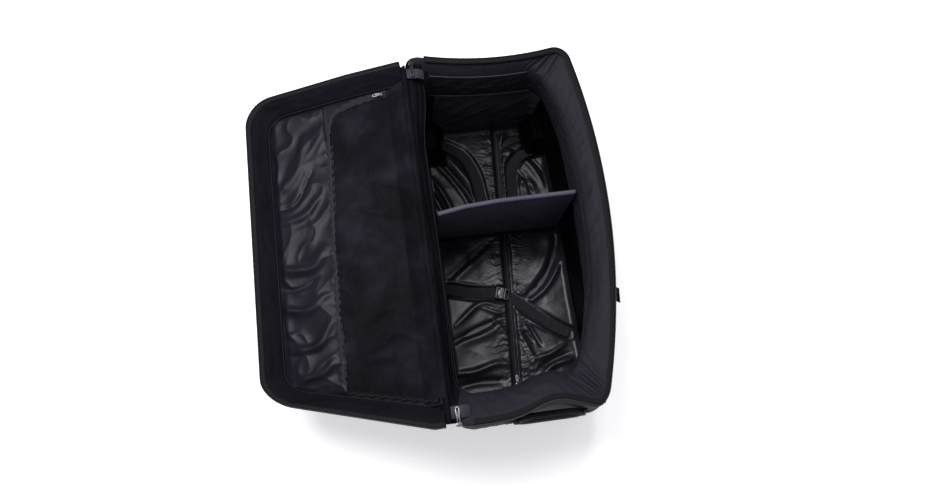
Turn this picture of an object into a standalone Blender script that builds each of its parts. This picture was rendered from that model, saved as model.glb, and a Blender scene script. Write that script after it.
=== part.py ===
"""Wheeled hockey equipment bag with its lid open.

Metres, +Z up. The bag's length runs along Y, with the wheels at +Y and the grab handle at -Y.
The lid hangs from the top of the back wall, at -X. The origin is on the floor, under the
middle skid runner. Soft panels are plain closed solids of their true place and thickness.
"""
import math

import bmesh
import bpy
from mathutils import Matrix, Vector

# Driving dimensions ----------------------------------------------------------------------
GAP = 0.0003
BASE_HALF_X = 0.195
BASE_HALF_Y = 0.445
RIM_Z = 0.356
RIM_BACK_X = -0.230
RIM_FRONT_X = 0.225
RIM_WHEEL_Y = 0.471
RIM_HANDLE_Y = -0.466
WALL = 0.005
BAND = 0.006

RUNNER_HEIGHT = 0.012
RUNNER_HALF_WIDTH = 0.009
RUNNER_SPACING = 0.110
RUNNER_START_Y = -0.380
RUNNER_END_Y = 0.310
BASE_PANEL = 0.003
BASE_BOARD = 0.004
LINING = 0.0014

WHEEL_R = 0.038
WHEEL_WIDTH = 0.024
WHEEL_X = 0.172
WHEEL_Y = 0.410
WHEEL_LIFT = 0.0005
HUB_R = 0.025
AXLE_R = 0.003
AXLE_CLEARANCE = 0.0003
HOUSING_HALF_X = 0.018
HOUSING_WALL = 0.0032
HOUSING_TOP = 0.085
HOUSING_END_Y = 0.4445

DIVIDER_FOOT_Y = 0.100
DIVIDER_TOP_LINE = [(-0.192, 0.063), (-0.120, 0.076), (-0.030, 0.083), (0.070, 0.085), (0.170, 0.087)]
DIVIDER_TOP = 0.314
DIVIDER_THICK = 0.010

WEBBING = 0.028
WEBBING_THICK = 0.0018
STRAP_Z = 0.0249

LID_DROOP = math.radians(18)
LID_AXIS_X = -0.232
LID_AXIS_Z = 0.372
LID_DEPTH = 0.036
LID_LENGTH = 0.452

HANDLE_WEBBING = 0.038
WEBBING_OFF = 0.0036
HANDLE_AXIS_Z = 0.275
HANDLE_FRONT_X = 0.254
HANDLE_BACK_X = -0.238
HANDLE_ENDS_Y = (-0.190, 0.200)
HANDLE_DROP = 0.150
HANDLE_LEAN = {"front": 0.012, "back": 0.0}

BASE_TOP_Z = RUNNER_HEIGHT + GAP + BASE_PANEL
BOARD_TOP_Z = BASE_TOP_Z + GAP + BASE_BOARD
LINING_FLOOR_Z = BOARD_TOP_Z + GAP + LINING + 0.0004

SIDES = {"front": 0, "wheel_end": 1, "back": 2, "handle_end": 3}


# Materials and objects -------------------------------------------------------------------
MATERIALS = {
    "polyester": ((0.018, 0.020, 0.028), 0.80, 0.0),
    "padded_band": ((0.030, 0.032, 0.042), 0.78, 0.0),
    "lining": ((0.012, 0.013, 0.019), 0.38, 0.0),
    "mesh": ((0.020, 0.021, 0.027), 0.85, 0.0),
    "webbing": ((0.020, 0.021, 0.026), 0.75, 0.0),
    "binding": ((0.110, 0.125, 0.160), 0.60, 0.0),
    "zip_tape": ((0.085, 0.088, 0.100), 0.70, 0.0),
    "zip_metal": ((0.450, 0.460, 0.480), 0.35, 0.9),
    "plastic": ((0.015, 0.015, 0.017), 0.45, 0.0),
    "board": ((0.050, 0.050, 0.055), 0.60, 0.0),
    "rubber": ((0.020, 0.020, 0.021), 0.85, 0.0),
    "steel": ((0.550, 0.560, 0.570), 0.30, 1.0),
}


def material_for(node, kind):
    """A Principled material of the node's own, in the kind's colour and finish."""
    colour, roughness, metallic = MATERIALS[kind]
    made = bpy.data.materials.new(node + "_" + kind)
    made.use_nodes = True
    shader = made.node_tree.nodes["Principled BSDF"]
    shader.inputs["Base Color"].default_value = (*colour, 1.0)
    shader.inputs["Roughness"].default_value = roughness
    shader.inputs["Metallic"].default_value = metallic
    return made


def new_object(name, verts, faces, kind, origin=(0, 0, 0)):
    """An object from world-space points, with its origin where its joint needs it."""
    base = Vector(origin)
    mesh = bpy.data.meshes.new(name)
    mesh.from_pydata([Vector(v) - base for v in verts], [], faces)
    mesh.update()
    made = bpy.data.objects.new(name, mesh)
    made.location = base
    bpy.context.scene.collection.objects.link(made)
    if kind:
        mesh.materials.append(material_for(name, kind))
    return made


def outward(made):
    """Turns every face of a closed mesh outward."""
    work = bmesh.new()
    work.from_mesh(made.data)
    bmesh.ops.recalc_face_normals(work, faces=work.faces)
    work.to_mesh(made.data)
    work.free()
    return made


def smooth(made, angle=40):
    made.data.shade_smooth()
    made.data.set_sharp_from_angle(angle=math.radians(angle))
    return made


def thicken(made, depth):
    """Solidify away from the faces' normals: the drawn surface stays the outer one."""
    solid = made.modifiers.new("thickness", "SOLIDIFY")
    solid.thickness = depth
    solid.offset = -1
    solid.use_even_offset = True
    return made


def cut(made, *cutters):
    for cutter in cutters:
        boolean = made.modifiers.new("cut_" + cutter.name, "BOOLEAN")
        boolean.operation = "DIFFERENCE"
        boolean.object = cutter
        boolean.solver = "EXACT"
    return made


def as_cutter(made):
    made.hide_render = True
    made.display_type = "WIRE"
    return made


def block(name, low, high, kind, origin=(0, 0, 0), turn=0.0, bevel=0.0):
    """A box between two corners, turned about Z by turn radians round its own centre."""
    low, high = Vector(low), Vector(high)
    centre = (low + high) / 2
    half = (high - low) / 2
    spin = Matrix.Rotation(turn, 3, "Z")
    signs = [(-1, -1, -1), (1, -1, -1), (1, 1, -1), (-1, 1, -1),
             (-1, -1, 1), (1, -1, 1), (1, 1, 1), (-1, 1, 1)]
    verts = [centre + spin @ Vector((half.x * a, half.y * b, half.z * c)) for a, b, c in signs]
    faces = [(0, 3, 2, 1), (4, 5, 6, 7), (0, 1, 5, 4), (1, 2, 6, 5), (2, 3, 7, 6), (3, 0, 4, 7)]
    made = new_object(name, verts, faces, kind, origin)
    if bevel:
        edge = made.modifiers.new("bevel", "BEVEL")
        edge.width = bevel
        edge.segments = 2
        edge.limit_method = "ANGLE"
    return made


def turned(name, profile, centre, kind, steps=32):
    """A ring turned about the X axis through centre, from (radius, x offset) points."""
    verts = []
    for i in range(steps):
        a = 2 * math.pi * i / steps
        for radius, x in profile:
            verts.append(Vector(centre) + Vector((x, radius * math.cos(a), radius * math.sin(a))))
    count = len(profile)
    faces = []
    for i in range(steps):
        for j in range(count):
            nxt = (i + 1) % steps
            k = (j + 1) % count
            faces.append((i * count + j, nxt * count + j, nxt * count + k, i * count + k))
    return smooth(outward(new_object(name, verts, faces, kind, centre)))


def rod(name, start, end, radius, kind, steps=16):
    """A plain round bar."""
    start, end = Vector(start), Vector(end)
    along = (end - start).normalized()
    side = along.orthogonal().normalized()
    up = along.cross(side)
    verts = []
    for point in (start, end):
        for i in range(steps):
            a = 2 * math.pi * i / steps
            verts.append(point + radius * (math.cos(a) * side + math.sin(a) * up))
    faces = [tuple(range(steps)), tuple(range(steps, 2 * steps))]
    faces += [(i, (i + 1) % steps, steps + (i + 1) % steps, steps + i) for i in range(steps)]
    return smooth(outward(new_object(name, verts, faces, kind, start)))


def curve_points(points, per_span=4):
    """Points on a smooth curve through the given ones (Catmull-Rom)."""
    p = [Vector(q) for q in points]
    p = [2 * p[0] - p[1], *p, 2 * p[-1] - p[-2]]
    found = []
    for i in range(1, len(p) - 2):
        for j in range(per_span):
            t = j / per_span
            a, b, c, d = p[i - 1], p[i], p[i + 1], p[i + 2]
            found.append(0.5 * (2 * b + (c - a) * t + (2 * a - 5 * b + 4 * c - d) * t * t
                                + (3 * b - a - 3 * c + d) * t ** 3))
    found.append(p[-2])
    return found


def ribbon(name, path, width, thick, face, kind, origin=(0, 0, 0)):
    """A flat strap along path. face is the direction its broad side looks, or one for each point."""
    looks = face if isinstance(face, list) else [face] * len(path)
    verts = []
    for i, point in enumerate(path):
        along = (path[min(i + 1, len(path) - 1)] - path[max(i - 1, 0)]).normalized()
        side = along.cross(Vector(looks[i])).normalized()
        up = side.cross(along).normalized()
        for a, b in ((-1, -1), (1, -1), (1, 1), (-1, 1)):
            verts.append(point + side * a * width / 2 + up * b * thick / 2)
    last = 4 * (len(path) - 1)
    faces = [(0, 1, 2, 3), (last, last + 1, last + 2, last + 3)]
    for i in range(len(path) - 1):
        for j in range(4):
            k = (j + 1) % 4
            faces.append((4 * i + j, 4 * i + k, 4 * i + 4 + k, 4 * i + 4 + j))
    return outward(new_object(name, verts, faces, kind, origin))


def sheet_between(name, lines, kind, depth, wanted, origin=(0, 0, 0)):
    """A panel lofted through rows of points, thickened away from the wanted direction."""
    count = len(lines[0])
    verts = [p for line in lines for p in line]
    faces = []
    for i in range(len(lines) - 1):
        for j in range(count - 1):
            a = i * count + j
            faces.append((a, a + 1, a + count + 1, a + count))
    made = new_object(name, verts, faces, kind, origin)
    middle = made.data.polygons[len(faces) // 2].normal
    if middle.dot(Vector(wanted)) < 0:
        made.data.flip_normals()
    return thicken(made, depth)


# The bag's outline at each height --------------------------------------------------------
def front_edge(y):
    """How far the soft rim stands out at the front: fullest near the wheels."""
    return 0.237 - 0.29 * (y - 0.13) ** 2


def soften(x, y, amount, cut=0.0):
    """Moves a point of the nominal outline to where the slack fabric stands.

    cut takes the outline's two front corners in."""
    if x > 0:
        x *= 1 + amount * (front_edge(y) / RIM_FRONT_X - 1)
        x *= 1 - cut * max(0.0, (abs(y - 0.06) - 0.2) / 0.2) ** 1.5
    if y > 0:
        y *= 1 + amount * 1.25 * x * x
    else:
        y *= 1 - amount * 0.070 * math.exp(-((x - 0.02) / 0.075) ** 2)
    return x, y


def level(x0, x1, y0, y1, radius, z, soft, cut=0.0):
    return {"x": (x0, x1), "y": (y0, y1), "r": radius, "z": z, "soft": soft, "cut": cut}


BASE = level(-BASE_HALF_X, BASE_HALF_X, -BASE_HALF_Y, BASE_HALF_Y, 0.050, BASE_TOP_Z + GAP, 0.0)
MIDDLE = level(-0.215, 0.222, -0.459, 0.463, 0.058, 0.180, 0.5)
WALL_TOP = level(RIM_BACK_X, RIM_FRONT_X, RIM_HANDLE_Y, RIM_WHEEL_Y, 0.042, 0.336, 1.0)
RIM = level(RIM_BACK_X, RIM_FRONT_X, RIM_HANDLE_Y, RIM_WHEEL_Y, 0.042, RIM_Z, 1.0)
MOUTH = level(-0.203, 0.170, -0.393, 0.438, 0.040, 0.322, 1.0, 0.24)
LINING_TOP = level(-0.203, 0.170, -0.393, 0.438, 0.040, 0.313, 1.0, 0.24)
LINING_FLOOR = level(-0.186, 0.186, -0.436, 0.436, 0.044, LINING_FLOOR_Z, 0.0)


def side_line(lev, side, trim=1.4, arc=3, run=6):
    """One side of a level's rounded outline, from mid-corner to mid-corner."""
    turn = SIDES[side]
    (x0, x1), (y0, y1), r = lev["x"], lev["y"], lev["r"]
    corners = [(x1 - r, y0 + r), (x1 - r, y1 - r), (x0 + r, y1 - r), (x0 + r, y0 + r)]
    first, second = corners[turn], corners[(turn + 1) % 4]
    start = math.radians(90 * turn - 45 + trim)
    middle = math.radians(90 * turn)
    end = math.radians(90 * turn + 45 - trim)
    plan = []
    for i in range(arc + 1):
        a = start + (middle - start) * i / arc
        plan.append((first[0] + r * math.cos(a), first[1] + r * math.sin(a)))
    reach = (r * math.cos(middle), r * math.sin(middle))
    for i in range(1, run):
        t = i / run
        plan.append((first[0] + (second[0] - first[0]) * t + reach[0],
                     first[1] + (second[1] - first[1]) * t + reach[1]))
    for i in range(arc + 1):
        a = middle + (end - middle) * i / arc
        plan.append((second[0] + r * math.cos(a), second[1] + r * math.sin(a)))
    return [Vector((*soften(x, y, lev["soft"], lev["cut"]), lev["z"])) for x, y in plan]


def ring(lev):
    """The whole outline of a level, without repeated points at the corners."""
    points = []
    for side in SIDES:
        points += side_line(lev, side, trim=0.0)[:-1]
    return points


def plate(name, half_x, half_y, radius, z0, z1, kind):
    """A flat rounded rectangle between two heights."""
    low = ring(level(-half_x, half_x, -half_y, half_y, radius, z0, 0.0))
    count = len(low)
    verts = low + [p + Vector((0, 0, z1 - z0)) for p in low]
    faces = [tuple(range(count)), tuple(range(count, 2 * count))]
    faces += [(i, (i + 1) % count, count + (i + 1) % count, count + i) for i in range(count)]
    return outward(new_object(name, verts, faces, kind))


# Base and wheels -------------------------------------------------------------------------
def wheel_corner_cutters():
    """Clears the two corners that the wheel housings take."""
    cutters = []
    for hand, name in ((-1, "back"), (1, "front")):
        xs = sorted((hand * (WHEEL_X - HOUSING_HALF_X - 0.001), hand * 0.26))
        low = (xs[0], WHEEL_Y - WHEEL_R - 0.009, -0.01)
        high = (xs[1], 0.60, HOUSING_TOP + 0.001)
        cutters.append(as_cutter(block("corner_cutter_" + name, low, high, None)))
    return cutters


def make_base(cutters):
    for i, name in enumerate(("back", "middle", "front")):
        x = (i - 1) * RUNNER_SPACING
        low = (x - RUNNER_HALF_WIDTH, RUNNER_START_Y, 0.0)
        high = (x + RUNNER_HALF_WIDTH, RUNNER_END_Y, RUNNER_HEIGHT)
        block("skid_runner_" + name, low, high, "plastic", bevel=0.002)
    panel_z = RUNNER_HEIGHT + GAP
    cut(plate("base_panel", BASE_HALF_X, BASE_HALF_Y, 0.050, panel_z, BASE_TOP_Z, "polyester"), *cutters)
    board_z = BASE_TOP_Z + GAP
    cut(plate("base_board", 0.186, 0.436, 0.044, board_z, BOARD_TOP_Z, "board"), *cutters)


def make_wheel(hand, name):
    """A rubber tyre on a plastic hub that turns on a steel axle in a corner housing."""
    x = hand * WHEEL_X
    z = WHEEL_R + WHEEL_LIFT
    half = WHEEL_WIDTH / 2
    crown = 0.004
    tyre = [(WHEEL_R, -half + crown), (WHEEL_R, half - crown), (WHEEL_R - crown, half),
            (HUB_R + GAP, half), (HUB_R + GAP, -half), (WHEEL_R - crown, -half)]
    turned("wheel_tyre_" + name, tyre, (x, WHEEL_Y, z), "rubber", 40)
    bore = AXLE_R + AXLE_CLEARANCE
    boss = half + 0.0012
    hub = [(bore, -boss), (0.009, -boss), (0.010, -half + 0.004), (HUB_R - 0.004, -half + 0.004),
           (HUB_R - 0.003, -half), (HUB_R, -half), (HUB_R, half), (HUB_R - 0.003, half),
           (HUB_R - 0.004, half - 0.004), (0.010, half - 0.004), (0.009, boss), (bore, boss)]
    turned("wheel_hub_" + name, hub, (x, WHEEL_Y, z), "plastic", 40)
    reach = HOUSING_HALF_X - 0.0005
    rod("wheel_axle_" + name, (x - reach, WHEEL_Y, z), (x + reach, WHEEL_Y, z), AXLE_R, "steel")
    low = (x - HOUSING_HALF_X, WHEEL_Y - WHEEL_R - 0.008, RUNNER_HEIGHT + GAP)
    high = (x + HOUSING_HALF_X, HOUSING_END_Y, HOUSING_TOP)
    housing = block("wheel_housing_" + name, low, high, "plastic", bevel=0.002)
    inner = HOUSING_HALF_X - HOUSING_WALL
    well = block("well_cutter_" + name, (x - inner, WHEEL_Y - WHEEL_R - 0.004, -0.01),
                 (x + inner, 0.60, z + WHEEL_R + 0.004), None)
    axle_hole = rod("axle_cutter_" + name, (x - 0.05, WHEEL_Y, z), (x + 0.05, WHEEL_Y, z),
                    AXLE_R + AXLE_CLEARANCE, None)
    cut(housing, as_cutter(well), as_cutter(axle_hole))


# Walls, rim and lining -------------------------------------------------------------------
def make_walls(cutters):
    directions = {"front": (1, 0, 0), "wheel_end": (0, 1, 0), "back": (-1, 0, 0), "handle_end": (0, -1, 0)}
    for side, direction in directions.items():
        lines = [side_line(lev, side) for lev in (BASE, MIDDLE, WALL_TOP)]
        wall = sheet_between(side + "_wall", lines, "polyester", WALL, direction)
        if side != "handle_end":
            cut(wall, *cutters)
        band = [side_line(RIM, side), side_line(MOUTH, side)]
        sheet_between(side + "_rim_band", band, "padded_band", BAND, (0, 0, 1))


def make_rim_zip_tape():
    """The body's half of the zip, standing on the rim round three sides."""
    path = []
    for side in ("handle_end", "front", "wheel_end"):
        path += side_line(RIM, side, trim=0.0)[(0 if side == "handle_end" else 1):]
    inner = level(RIM_BACK_X + 0.014, RIM_FRONT_X - 0.014, RIM_HANDLE_Y + 0.014,
                  RIM_WHEEL_Y - 0.014, 0.030, RIM_Z, 1.0)
    other = []
    for side in ("handle_end", "front", "wheel_end"):
        other += side_line(inner, side, trim=0.0)[(0 if side == "handle_end" else 1):]
    lift = Vector((0, 0, 0.0024))
    lines = [[p + lift for p in path], [p + lift for p in other]]
    sheet_between("rim_zip_tape", lines, "zip_tape", 0.0016, (0, 0, 1))


def make_lining(cutters):
    """One sewn tub that hangs from the mouth and lies on the base board."""
    top, floor = ring(LINING_TOP), ring(LINING_FLOOR)
    count = len(top)
    faces = [(i, (i + 1) % count, (i + 1) % count + count, i + count) for i in range(count)]
    faces.append(tuple(range(count, 2 * count)))
    tub = new_object("lining", top + floor, faces, "lining")
    cut(thicken(tub, LINING), *cutters)


def make_divider():
    """A foam panel across the middle, with a bound top edge that swings towards the handle end."""
    half = DIVIDER_THICK / 2
    foot_z = LINING_FLOOR_Z + 0.0022
    count = len(DIVIDER_TOP_LINE)
    foot = [(-0.180 + 0.358 * i / (count - 1), DIVIDER_FOOT_Y, foot_z) for i in range(count)]
    top = [(x, y, DIVIDER_TOP) for x, y in DIVIDER_TOP_LINE]
    loop = foot + top[::-1]
    verts = [(x, y + side * half, z) for side in (-1, 1) for x, y, z in loop]
    total = len(loop)
    faces = [(i, (i + 1) % total, (i + 1) % total + total, i + total) for i in range(total)]
    for start in (0, total):
        last = start + total - 1
        faces += [(start + i, start + i + 1, last - 1 - i, last - i) for i in range(count - 1)]
    outward(new_object("divider", verts, faces, "padded_band"))
    depth = 0.0057
    path = [Vector((x, y, DIVIDER_TOP + GAP + depth / 2)) for x, y in DIVIDER_TOP_LINE]
    ribbon("divider_binding", path, DIVIDER_THICK + 0.002, depth, (0, 0, 1), "binding")


# Zips --------------------------------------------------------------------------------------
def make_slider(name, centre, along, kind_body="zip_metal"):
    """A slider body 14 mm long and 10 mm wide, with the pull's post on it."""
    turn = math.atan2(along[1], along[0])
    half = Vector((0.007, 0.005, 0.0028))
    middle = Vector(centre)
    return block(name, middle - half, middle + half, kind_body, centre, turn, bevel=0.0008)


def make_pull(name, pivot, direction, length, width, thick=0.0018):
    """A pull tab that reaches from its pivot in direction, and turns about the pivot."""
    direction = Vector(direction).normalized()
    start = Vector(pivot) + direction * 0.001
    face = Vector((0, 0, 1)) if abs(direction.z) < 0.9 else Vector((0, 1, 0))
    path = [start, start + direction * length]
    tab = ribbon(name, path, width, thick, face, "zip_metal", pivot)
    edge = tab.modifiers.new("bevel", "BEVEL")
    edge.width = 0.0006
    edge.segments = 1
    return tab


LINING_ZIP_FAR = Vector((0.046, 0.424, LINING_FLOOR_Z + 0.0011))
LINING_ZIP_NEAR = Vector((-0.012, -0.380, LINING_FLOOR_Z + 0.0011))


def make_lining_zip():
    path = [LINING_ZIP_NEAR.lerp(LINING_ZIP_FAR, i / 8) for i in range(9)]
    ribbon("lining_zip_tape", path, 0.022, 0.0012, (0, 0, 1), "zip_tape")
    along = (LINING_ZIP_FAR - LINING_ZIP_NEAR).normalized()
    centre = LINING_ZIP_NEAR + along * 0.030 + Vector((0, 0, 0.0038))
    make_slider("lining_zip_slider", centre, along)
    pivot = centre + Vector((0, 0, 0.0040))
    make_pull("lining_zip_pull", pivot, along, 0.026, 0.008)


def make_main_zip():
    slider_z = RIM_Z + 0.0062
    near = Vector((-0.214, -0.461, slider_z))
    far = Vector((-0.214, 0.470, slider_z))
    for name, centre, inward in (("handle_end", near, 1), ("wheel_end", far, -1)):
        make_slider("main_zip_slider_" + name, centre, (1, 0))
        pivot = centre + Vector((0, 0.002 * inward, 0.0042))
        make_pull("main_zip_pull_" + name, pivot, (0, inward, 0), 0.037, 0.011)


# Tie-down straps and buckles ---------------------------------------------------------------
NEAR_BUCKLE = Vector((-0.009, -0.092, STRAP_Z))
NEAR_BUCKLE_TURN = math.radians(-17)
FAR_BUCKLE = Vector((0.018, 0.150, STRAP_Z))
FAR_BUCKLE_TURN = 0.0

NEAR_BACK_STRAP = [(-0.176, -0.062, 0.0330), (-0.150, -0.066, 0.0275), (-0.103, -0.078, STRAP_Z),
                   (-0.060, -0.084, STRAP_Z), (-0.016, -0.090, STRAP_Z)]
NEAR_FRONT_STRAP = [(0.002, -0.098, STRAP_Z), (0.036, -0.124, STRAP_Z), (0.072, -0.158, STRAP_Z),
                    (0.110, -0.192, STRAP_Z), (0.140, -0.214, 0.0280), (0.158, -0.226, 0.0330)]
FAR_BACK_STRAP = [(-0.148, 0.388, 0.0300), (-0.128, 0.386, 0.0265), (-0.100, 0.376, STRAP_Z),
                  (-0.060, 0.340, STRAP_Z), (-0.036, 0.280, STRAP_Z), (-0.030, 0.220, STRAP_Z),
                  (-0.022, 0.170, STRAP_Z), (0.006, 0.152, STRAP_Z)]
FAR_FRONT_STRAP = [(0.146, 0.340, 0.0330), (0.128, 0.338, 0.0275), (0.098, 0.322, STRAP_Z),
                   (0.076, 0.286, STRAP_Z), (0.070, 0.236, STRAP_Z), (0.062, 0.184, STRAP_Z),
                   (0.032, 0.154, STRAP_Z)]


def make_buckle(name, centre, turn):
    """A side-release buckle: a receiver with a pocket, and a plug whose tongue sits in it."""
    spin = Matrix.Rotation(turn, 3, "Z")
    along = spin @ Vector((1, 0, 0))
    bottom = WEBBING_THICK / 2 + 0.0006
    low = centre + Vector((0, 0, bottom))
    seat = low - along * 0.012
    receiver = block(name + "_buckle_receiver", seat - Vector((0.012, 0.017, 0)),
                     seat + Vector((0.012, 0.017, 0.010)), "plastic", seat, turn, bevel=0.0015)
    middle = seat + Vector((0, 0, 0.005)) + along * 0.004
    pocket = block(name + "_pocket_cutter", middle - Vector((0.012, 0.0125, 0.0028)),
                   middle + Vector((0.012, 0.0125, 0.0028)), None, (0, 0, 0), turn)
    cut(receiver, as_cutter(pocket))
    head = [(-0.016, 0.0110), (0.0006, 0.0110), (0.0006, 0.0165), (0.016, 0.0165)]
    outline = head + [(x, -y) for x, y in reversed(head)]
    verts = []
    for height in (0.0026, 0.0074):
        verts += [low + spin @ Vector((x, y, 0)) + Vector((0, 0, height)) for x, y in outline]
    count = len(outline)
    faces = [tuple(range(count)), tuple(range(count, 2 * count))]
    faces += [(i, (i + 1) % count, count + (i + 1) % count, count + i) for i in range(count)]
    outward(new_object(name + "_buckle_plug", verts, faces, "plastic", low))


def make_tie_downs():
    straps = {"near_strap_back": NEAR_BACK_STRAP, "near_strap_front": NEAR_FRONT_STRAP,
              "far_strap_back": FAR_BACK_STRAP, "far_strap_front": FAR_FRONT_STRAP}
    for name, points in straps.items():
        ribbon(name, curve_points(points), WEBBING, WEBBING_THICK, (0, 0, 1), "webbing")
    make_buckle("near", NEAR_BUCKLE, NEAR_BUCKLE_TURN)
    make_buckle("far", FAR_BUCKLE, FAR_BUCKLE_TURN)


# Handles -----------------------------------------------------------------------------------
def wall_x(hand, y, z):
    """The outer face of the front or back wall, at a place along it and a height."""
    low, high = (BASE, MIDDLE) if z < MIDDLE["z"] else (MIDDLE, WALL_TOP)
    share = (z - low["z"]) / (high["z"] - low["z"])
    ends = [soften(lev["x"][(hand + 1) // 2], y, lev["soft"])[0] for lev in (low, high)]
    return ends[0] + (ends[1] - ends[0]) * share


def make_wall_webbing(hand, name):
    """Two uprights and a cross strap, one cut of webbing sewn flat on the wall."""
    y0, y1 = HANDLE_ENDS_Y
    half = HANDLE_WEBBING / 2
    inner = [y0 + half + (y1 - y0 - HANDLE_WEBBING) * i / 4 for i in range(5)]
    columns = [y0 - half, *inner, y1 + half]
    heights = [0.030, 0.066, MIDDLE["z"], 0.262]
    verts = [(wall_x(hand, y, z) + hand * WEBBING_OFF, y, z) for z in heights for y in columns]
    count = len(columns)
    faces = []
    for row in range(len(heights) - 1):
        for column in (range(count - 1) if row == 0 else (0, count - 2)):
            a = row * count + column
            faces.append((a, a + 1, a + count + 1, a + count))
    used = sorted({i for face in faces for i in face})
    place = {old: new for new, old in enumerate(used)}
    faces = [tuple(place[i] for i in face) for face in faces]
    made = new_object(name + "_wall_webbing", [verts[i] for i in used], faces, "webbing")
    if made.data.polygons[0].normal.x * hand > 0:
        made.data.flip_normals()
    thicken(made, WEBBING_THICK)


def make_carry_handle(hand, name, axis_x):
    """A webbing loop that hangs straight down from its two ends. The front one leans out at the wheel end."""
    y0, y1 = HANDLE_ENDS_Y
    middle, reach = (y0 + y1) / 2, (y1 - y0) / 2
    path = []
    for i in range(21):
        t = -1 + 2 * i / 20
        drop = HANDLE_DROP * (1 - abs(t) ** 3.2)
        path.append(Vector((axis_x + HANDLE_LEAN[name] * t, middle + reach * t, HANDLE_AXIS_Z - drop)))
    pivot = (axis_x, middle, HANDLE_AXIS_Z)
    ribbon(name + "_carry_handle", path, HANDLE_WEBBING, 0.003, (1, 0, 0), "webbing", pivot)


def make_hand_wrap():
    """The padded sleeve closed round the middle of the front handle."""
    y0, y1 = HANDLE_ENDS_Y
    middle = (y0 + y1) / 2
    z = HANDLE_AXIS_Z - HANDLE_DROP
    turn = -math.atan2(HANDLE_LEAN["front"], (y1 - y0) / 2)
    low = (HANDLE_FRONT_X - 0.008, middle - 0.055, z - 0.026)
    high = (HANDLE_FRONT_X + 0.008, middle + 0.055, z + 0.028)
    wrap = block("hand_wrap", low, high, "padded_band", (HANDLE_FRONT_X, middle, HANDLE_AXIS_Z), turn)
    slot = block("wrap_cutter", (HANDLE_FRONT_X - 0.0030, middle - 0.08, z - 0.0205),
                 (HANDLE_FRONT_X + 0.0030, middle + 0.08, z + 0.0240), None, (0, 0, 0), turn)
    cut(wrap, as_cutter(slot))


END_AXIS = Vector((0.012, -0.4665, 0.301))
END_REACH = 0.084


def make_end_handle():
    """A padded grab handle: flat on the wall at its two ends, turned outward between them."""
    path, looks = [], []
    for i in range(17):
        t = -1 + 2 * i / 16
        out = 1 - abs(t) ** 4
        path.append(END_AXIS + Vector((END_REACH * t, -0.0005 + 0.005 * out, -0.015 - 0.010 * out)))
        looks.append((0, -1 + 0.25 * out, 0.15 + 0.50 * out))
    grip = ribbon("end_grab_handle", path, 0.030, 0.011, looks, "padded_band", END_AXIS)
    grip.modifiers.new("bevel", "BEVEL").width = 0.003
    for hand, name in ((-1, "back"), (1, "front")):
        x = END_AXIS.x + hand * END_REACH
        low = (x - 0.017, END_AXIS.y + 0.0037, END_AXIS.z - 0.086)
        high = (x + 0.017, END_AXIS.y + 0.0055, END_AXIS.z - 0.033)
        block("end_handle_tab_" + name, low, high, "webbing")


# Lid -----------------------------------------------------------------------------------------
def lid_point(s, y, n):
    """A point of the lid: s out from the hinge, n above the lid's plane on its inner side.

    The slack lid narrows away from its hinge, mostly at the handle end."""
    if y < 0:
        y *= 1 - 0.66 * max(0.0, s - 0.04)
    else:
        y *= 1 - 0.10 * max(0.0, s - 0.16)
    c, d = math.cos(LID_DROOP), math.sin(LID_DROOP)
    return Vector((LID_AXIS_X - s * c - n * d, y, LID_AXIS_Z - s * d + n * c))


def lid_line(inset, n, side, trim=0.0):
    """One run of the lid's outline at a depth: the wheel end, outer or handle end run."""
    s1 = LID_LENGTH - inset
    y0, y1 = -0.462 + inset, 0.474 - inset
    r = 0.075 - inset * 0.4
    points = []
    if side == "wheel_end":
        points += [(0.014 + (s1 - r - 0.014) * i / 6, y1) for i in range(7)]
        points += [(s1 - r + r * math.sin(a), y1 - r + r * math.cos(a))
                   for a in (math.radians((45 - trim) * i / 3) for i in range(1, 4))]
    elif side == "outer":
        arc = [math.radians(45 + trim + (45 - trim) * i / 3) for i in range(4)]
        points += [(s1 - r + r * math.sin(a), y1 - r + r * math.cos(a)) for a in arc]
        points += [(s1, y1 - r + (y0 + r - y1 + r) * i / 8) for i in range(1, 8)]
        points += [(s1 - r + r * math.sin(a), y0 + r - r * math.cos(a)) for a in reversed(arc)]
    else:
        points += [(s1 - r + r * math.sin(a), y0 + r - r * math.cos(a))
                   for a in (math.radians((45 - trim) * (3 - i) / 3) for i in range(3))]
        points += [(s1 - r - (s1 - r - 0.014) * i / 6, y0) for i in range(7)]
    return [lid_point(s, y, n) for s, y in points]


def lid_slab(name, inset, start, n_start, n_out, depth, kind, away):
    """A sheet over the lid's plane from near the hinge outwards, dropping to its depth."""
    s1 = LID_LENGTH - inset
    y0, y1 = -0.462 + inset, 0.474 - inset
    r = 0.070 - inset * 0.4
    lines = []
    flat = start + 0.045
    stations = [start, flat] + [flat + (s1 - r - flat) * i / 4 for i in range(1, 5)]
    stations += [s1 - r + r * math.sin(math.radians(90 * i / 5)) for i in range(1, 6)]
    for s in stations:
        over = max(0.0, s - (s1 - r))
        tuck = r - math.sqrt(max(0.0, r * r - over * over))
        n = n_start + (n_out - n_start) * min(1.0, (s - start) / 0.045)
        a, b = y0 + tuck, y1 - tuck
        lines.append([lid_point(s, a + (b - a) * i / 6, n) for i in range(7)])
    return sheet_between(name, lines, kind, depth, away)


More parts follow.
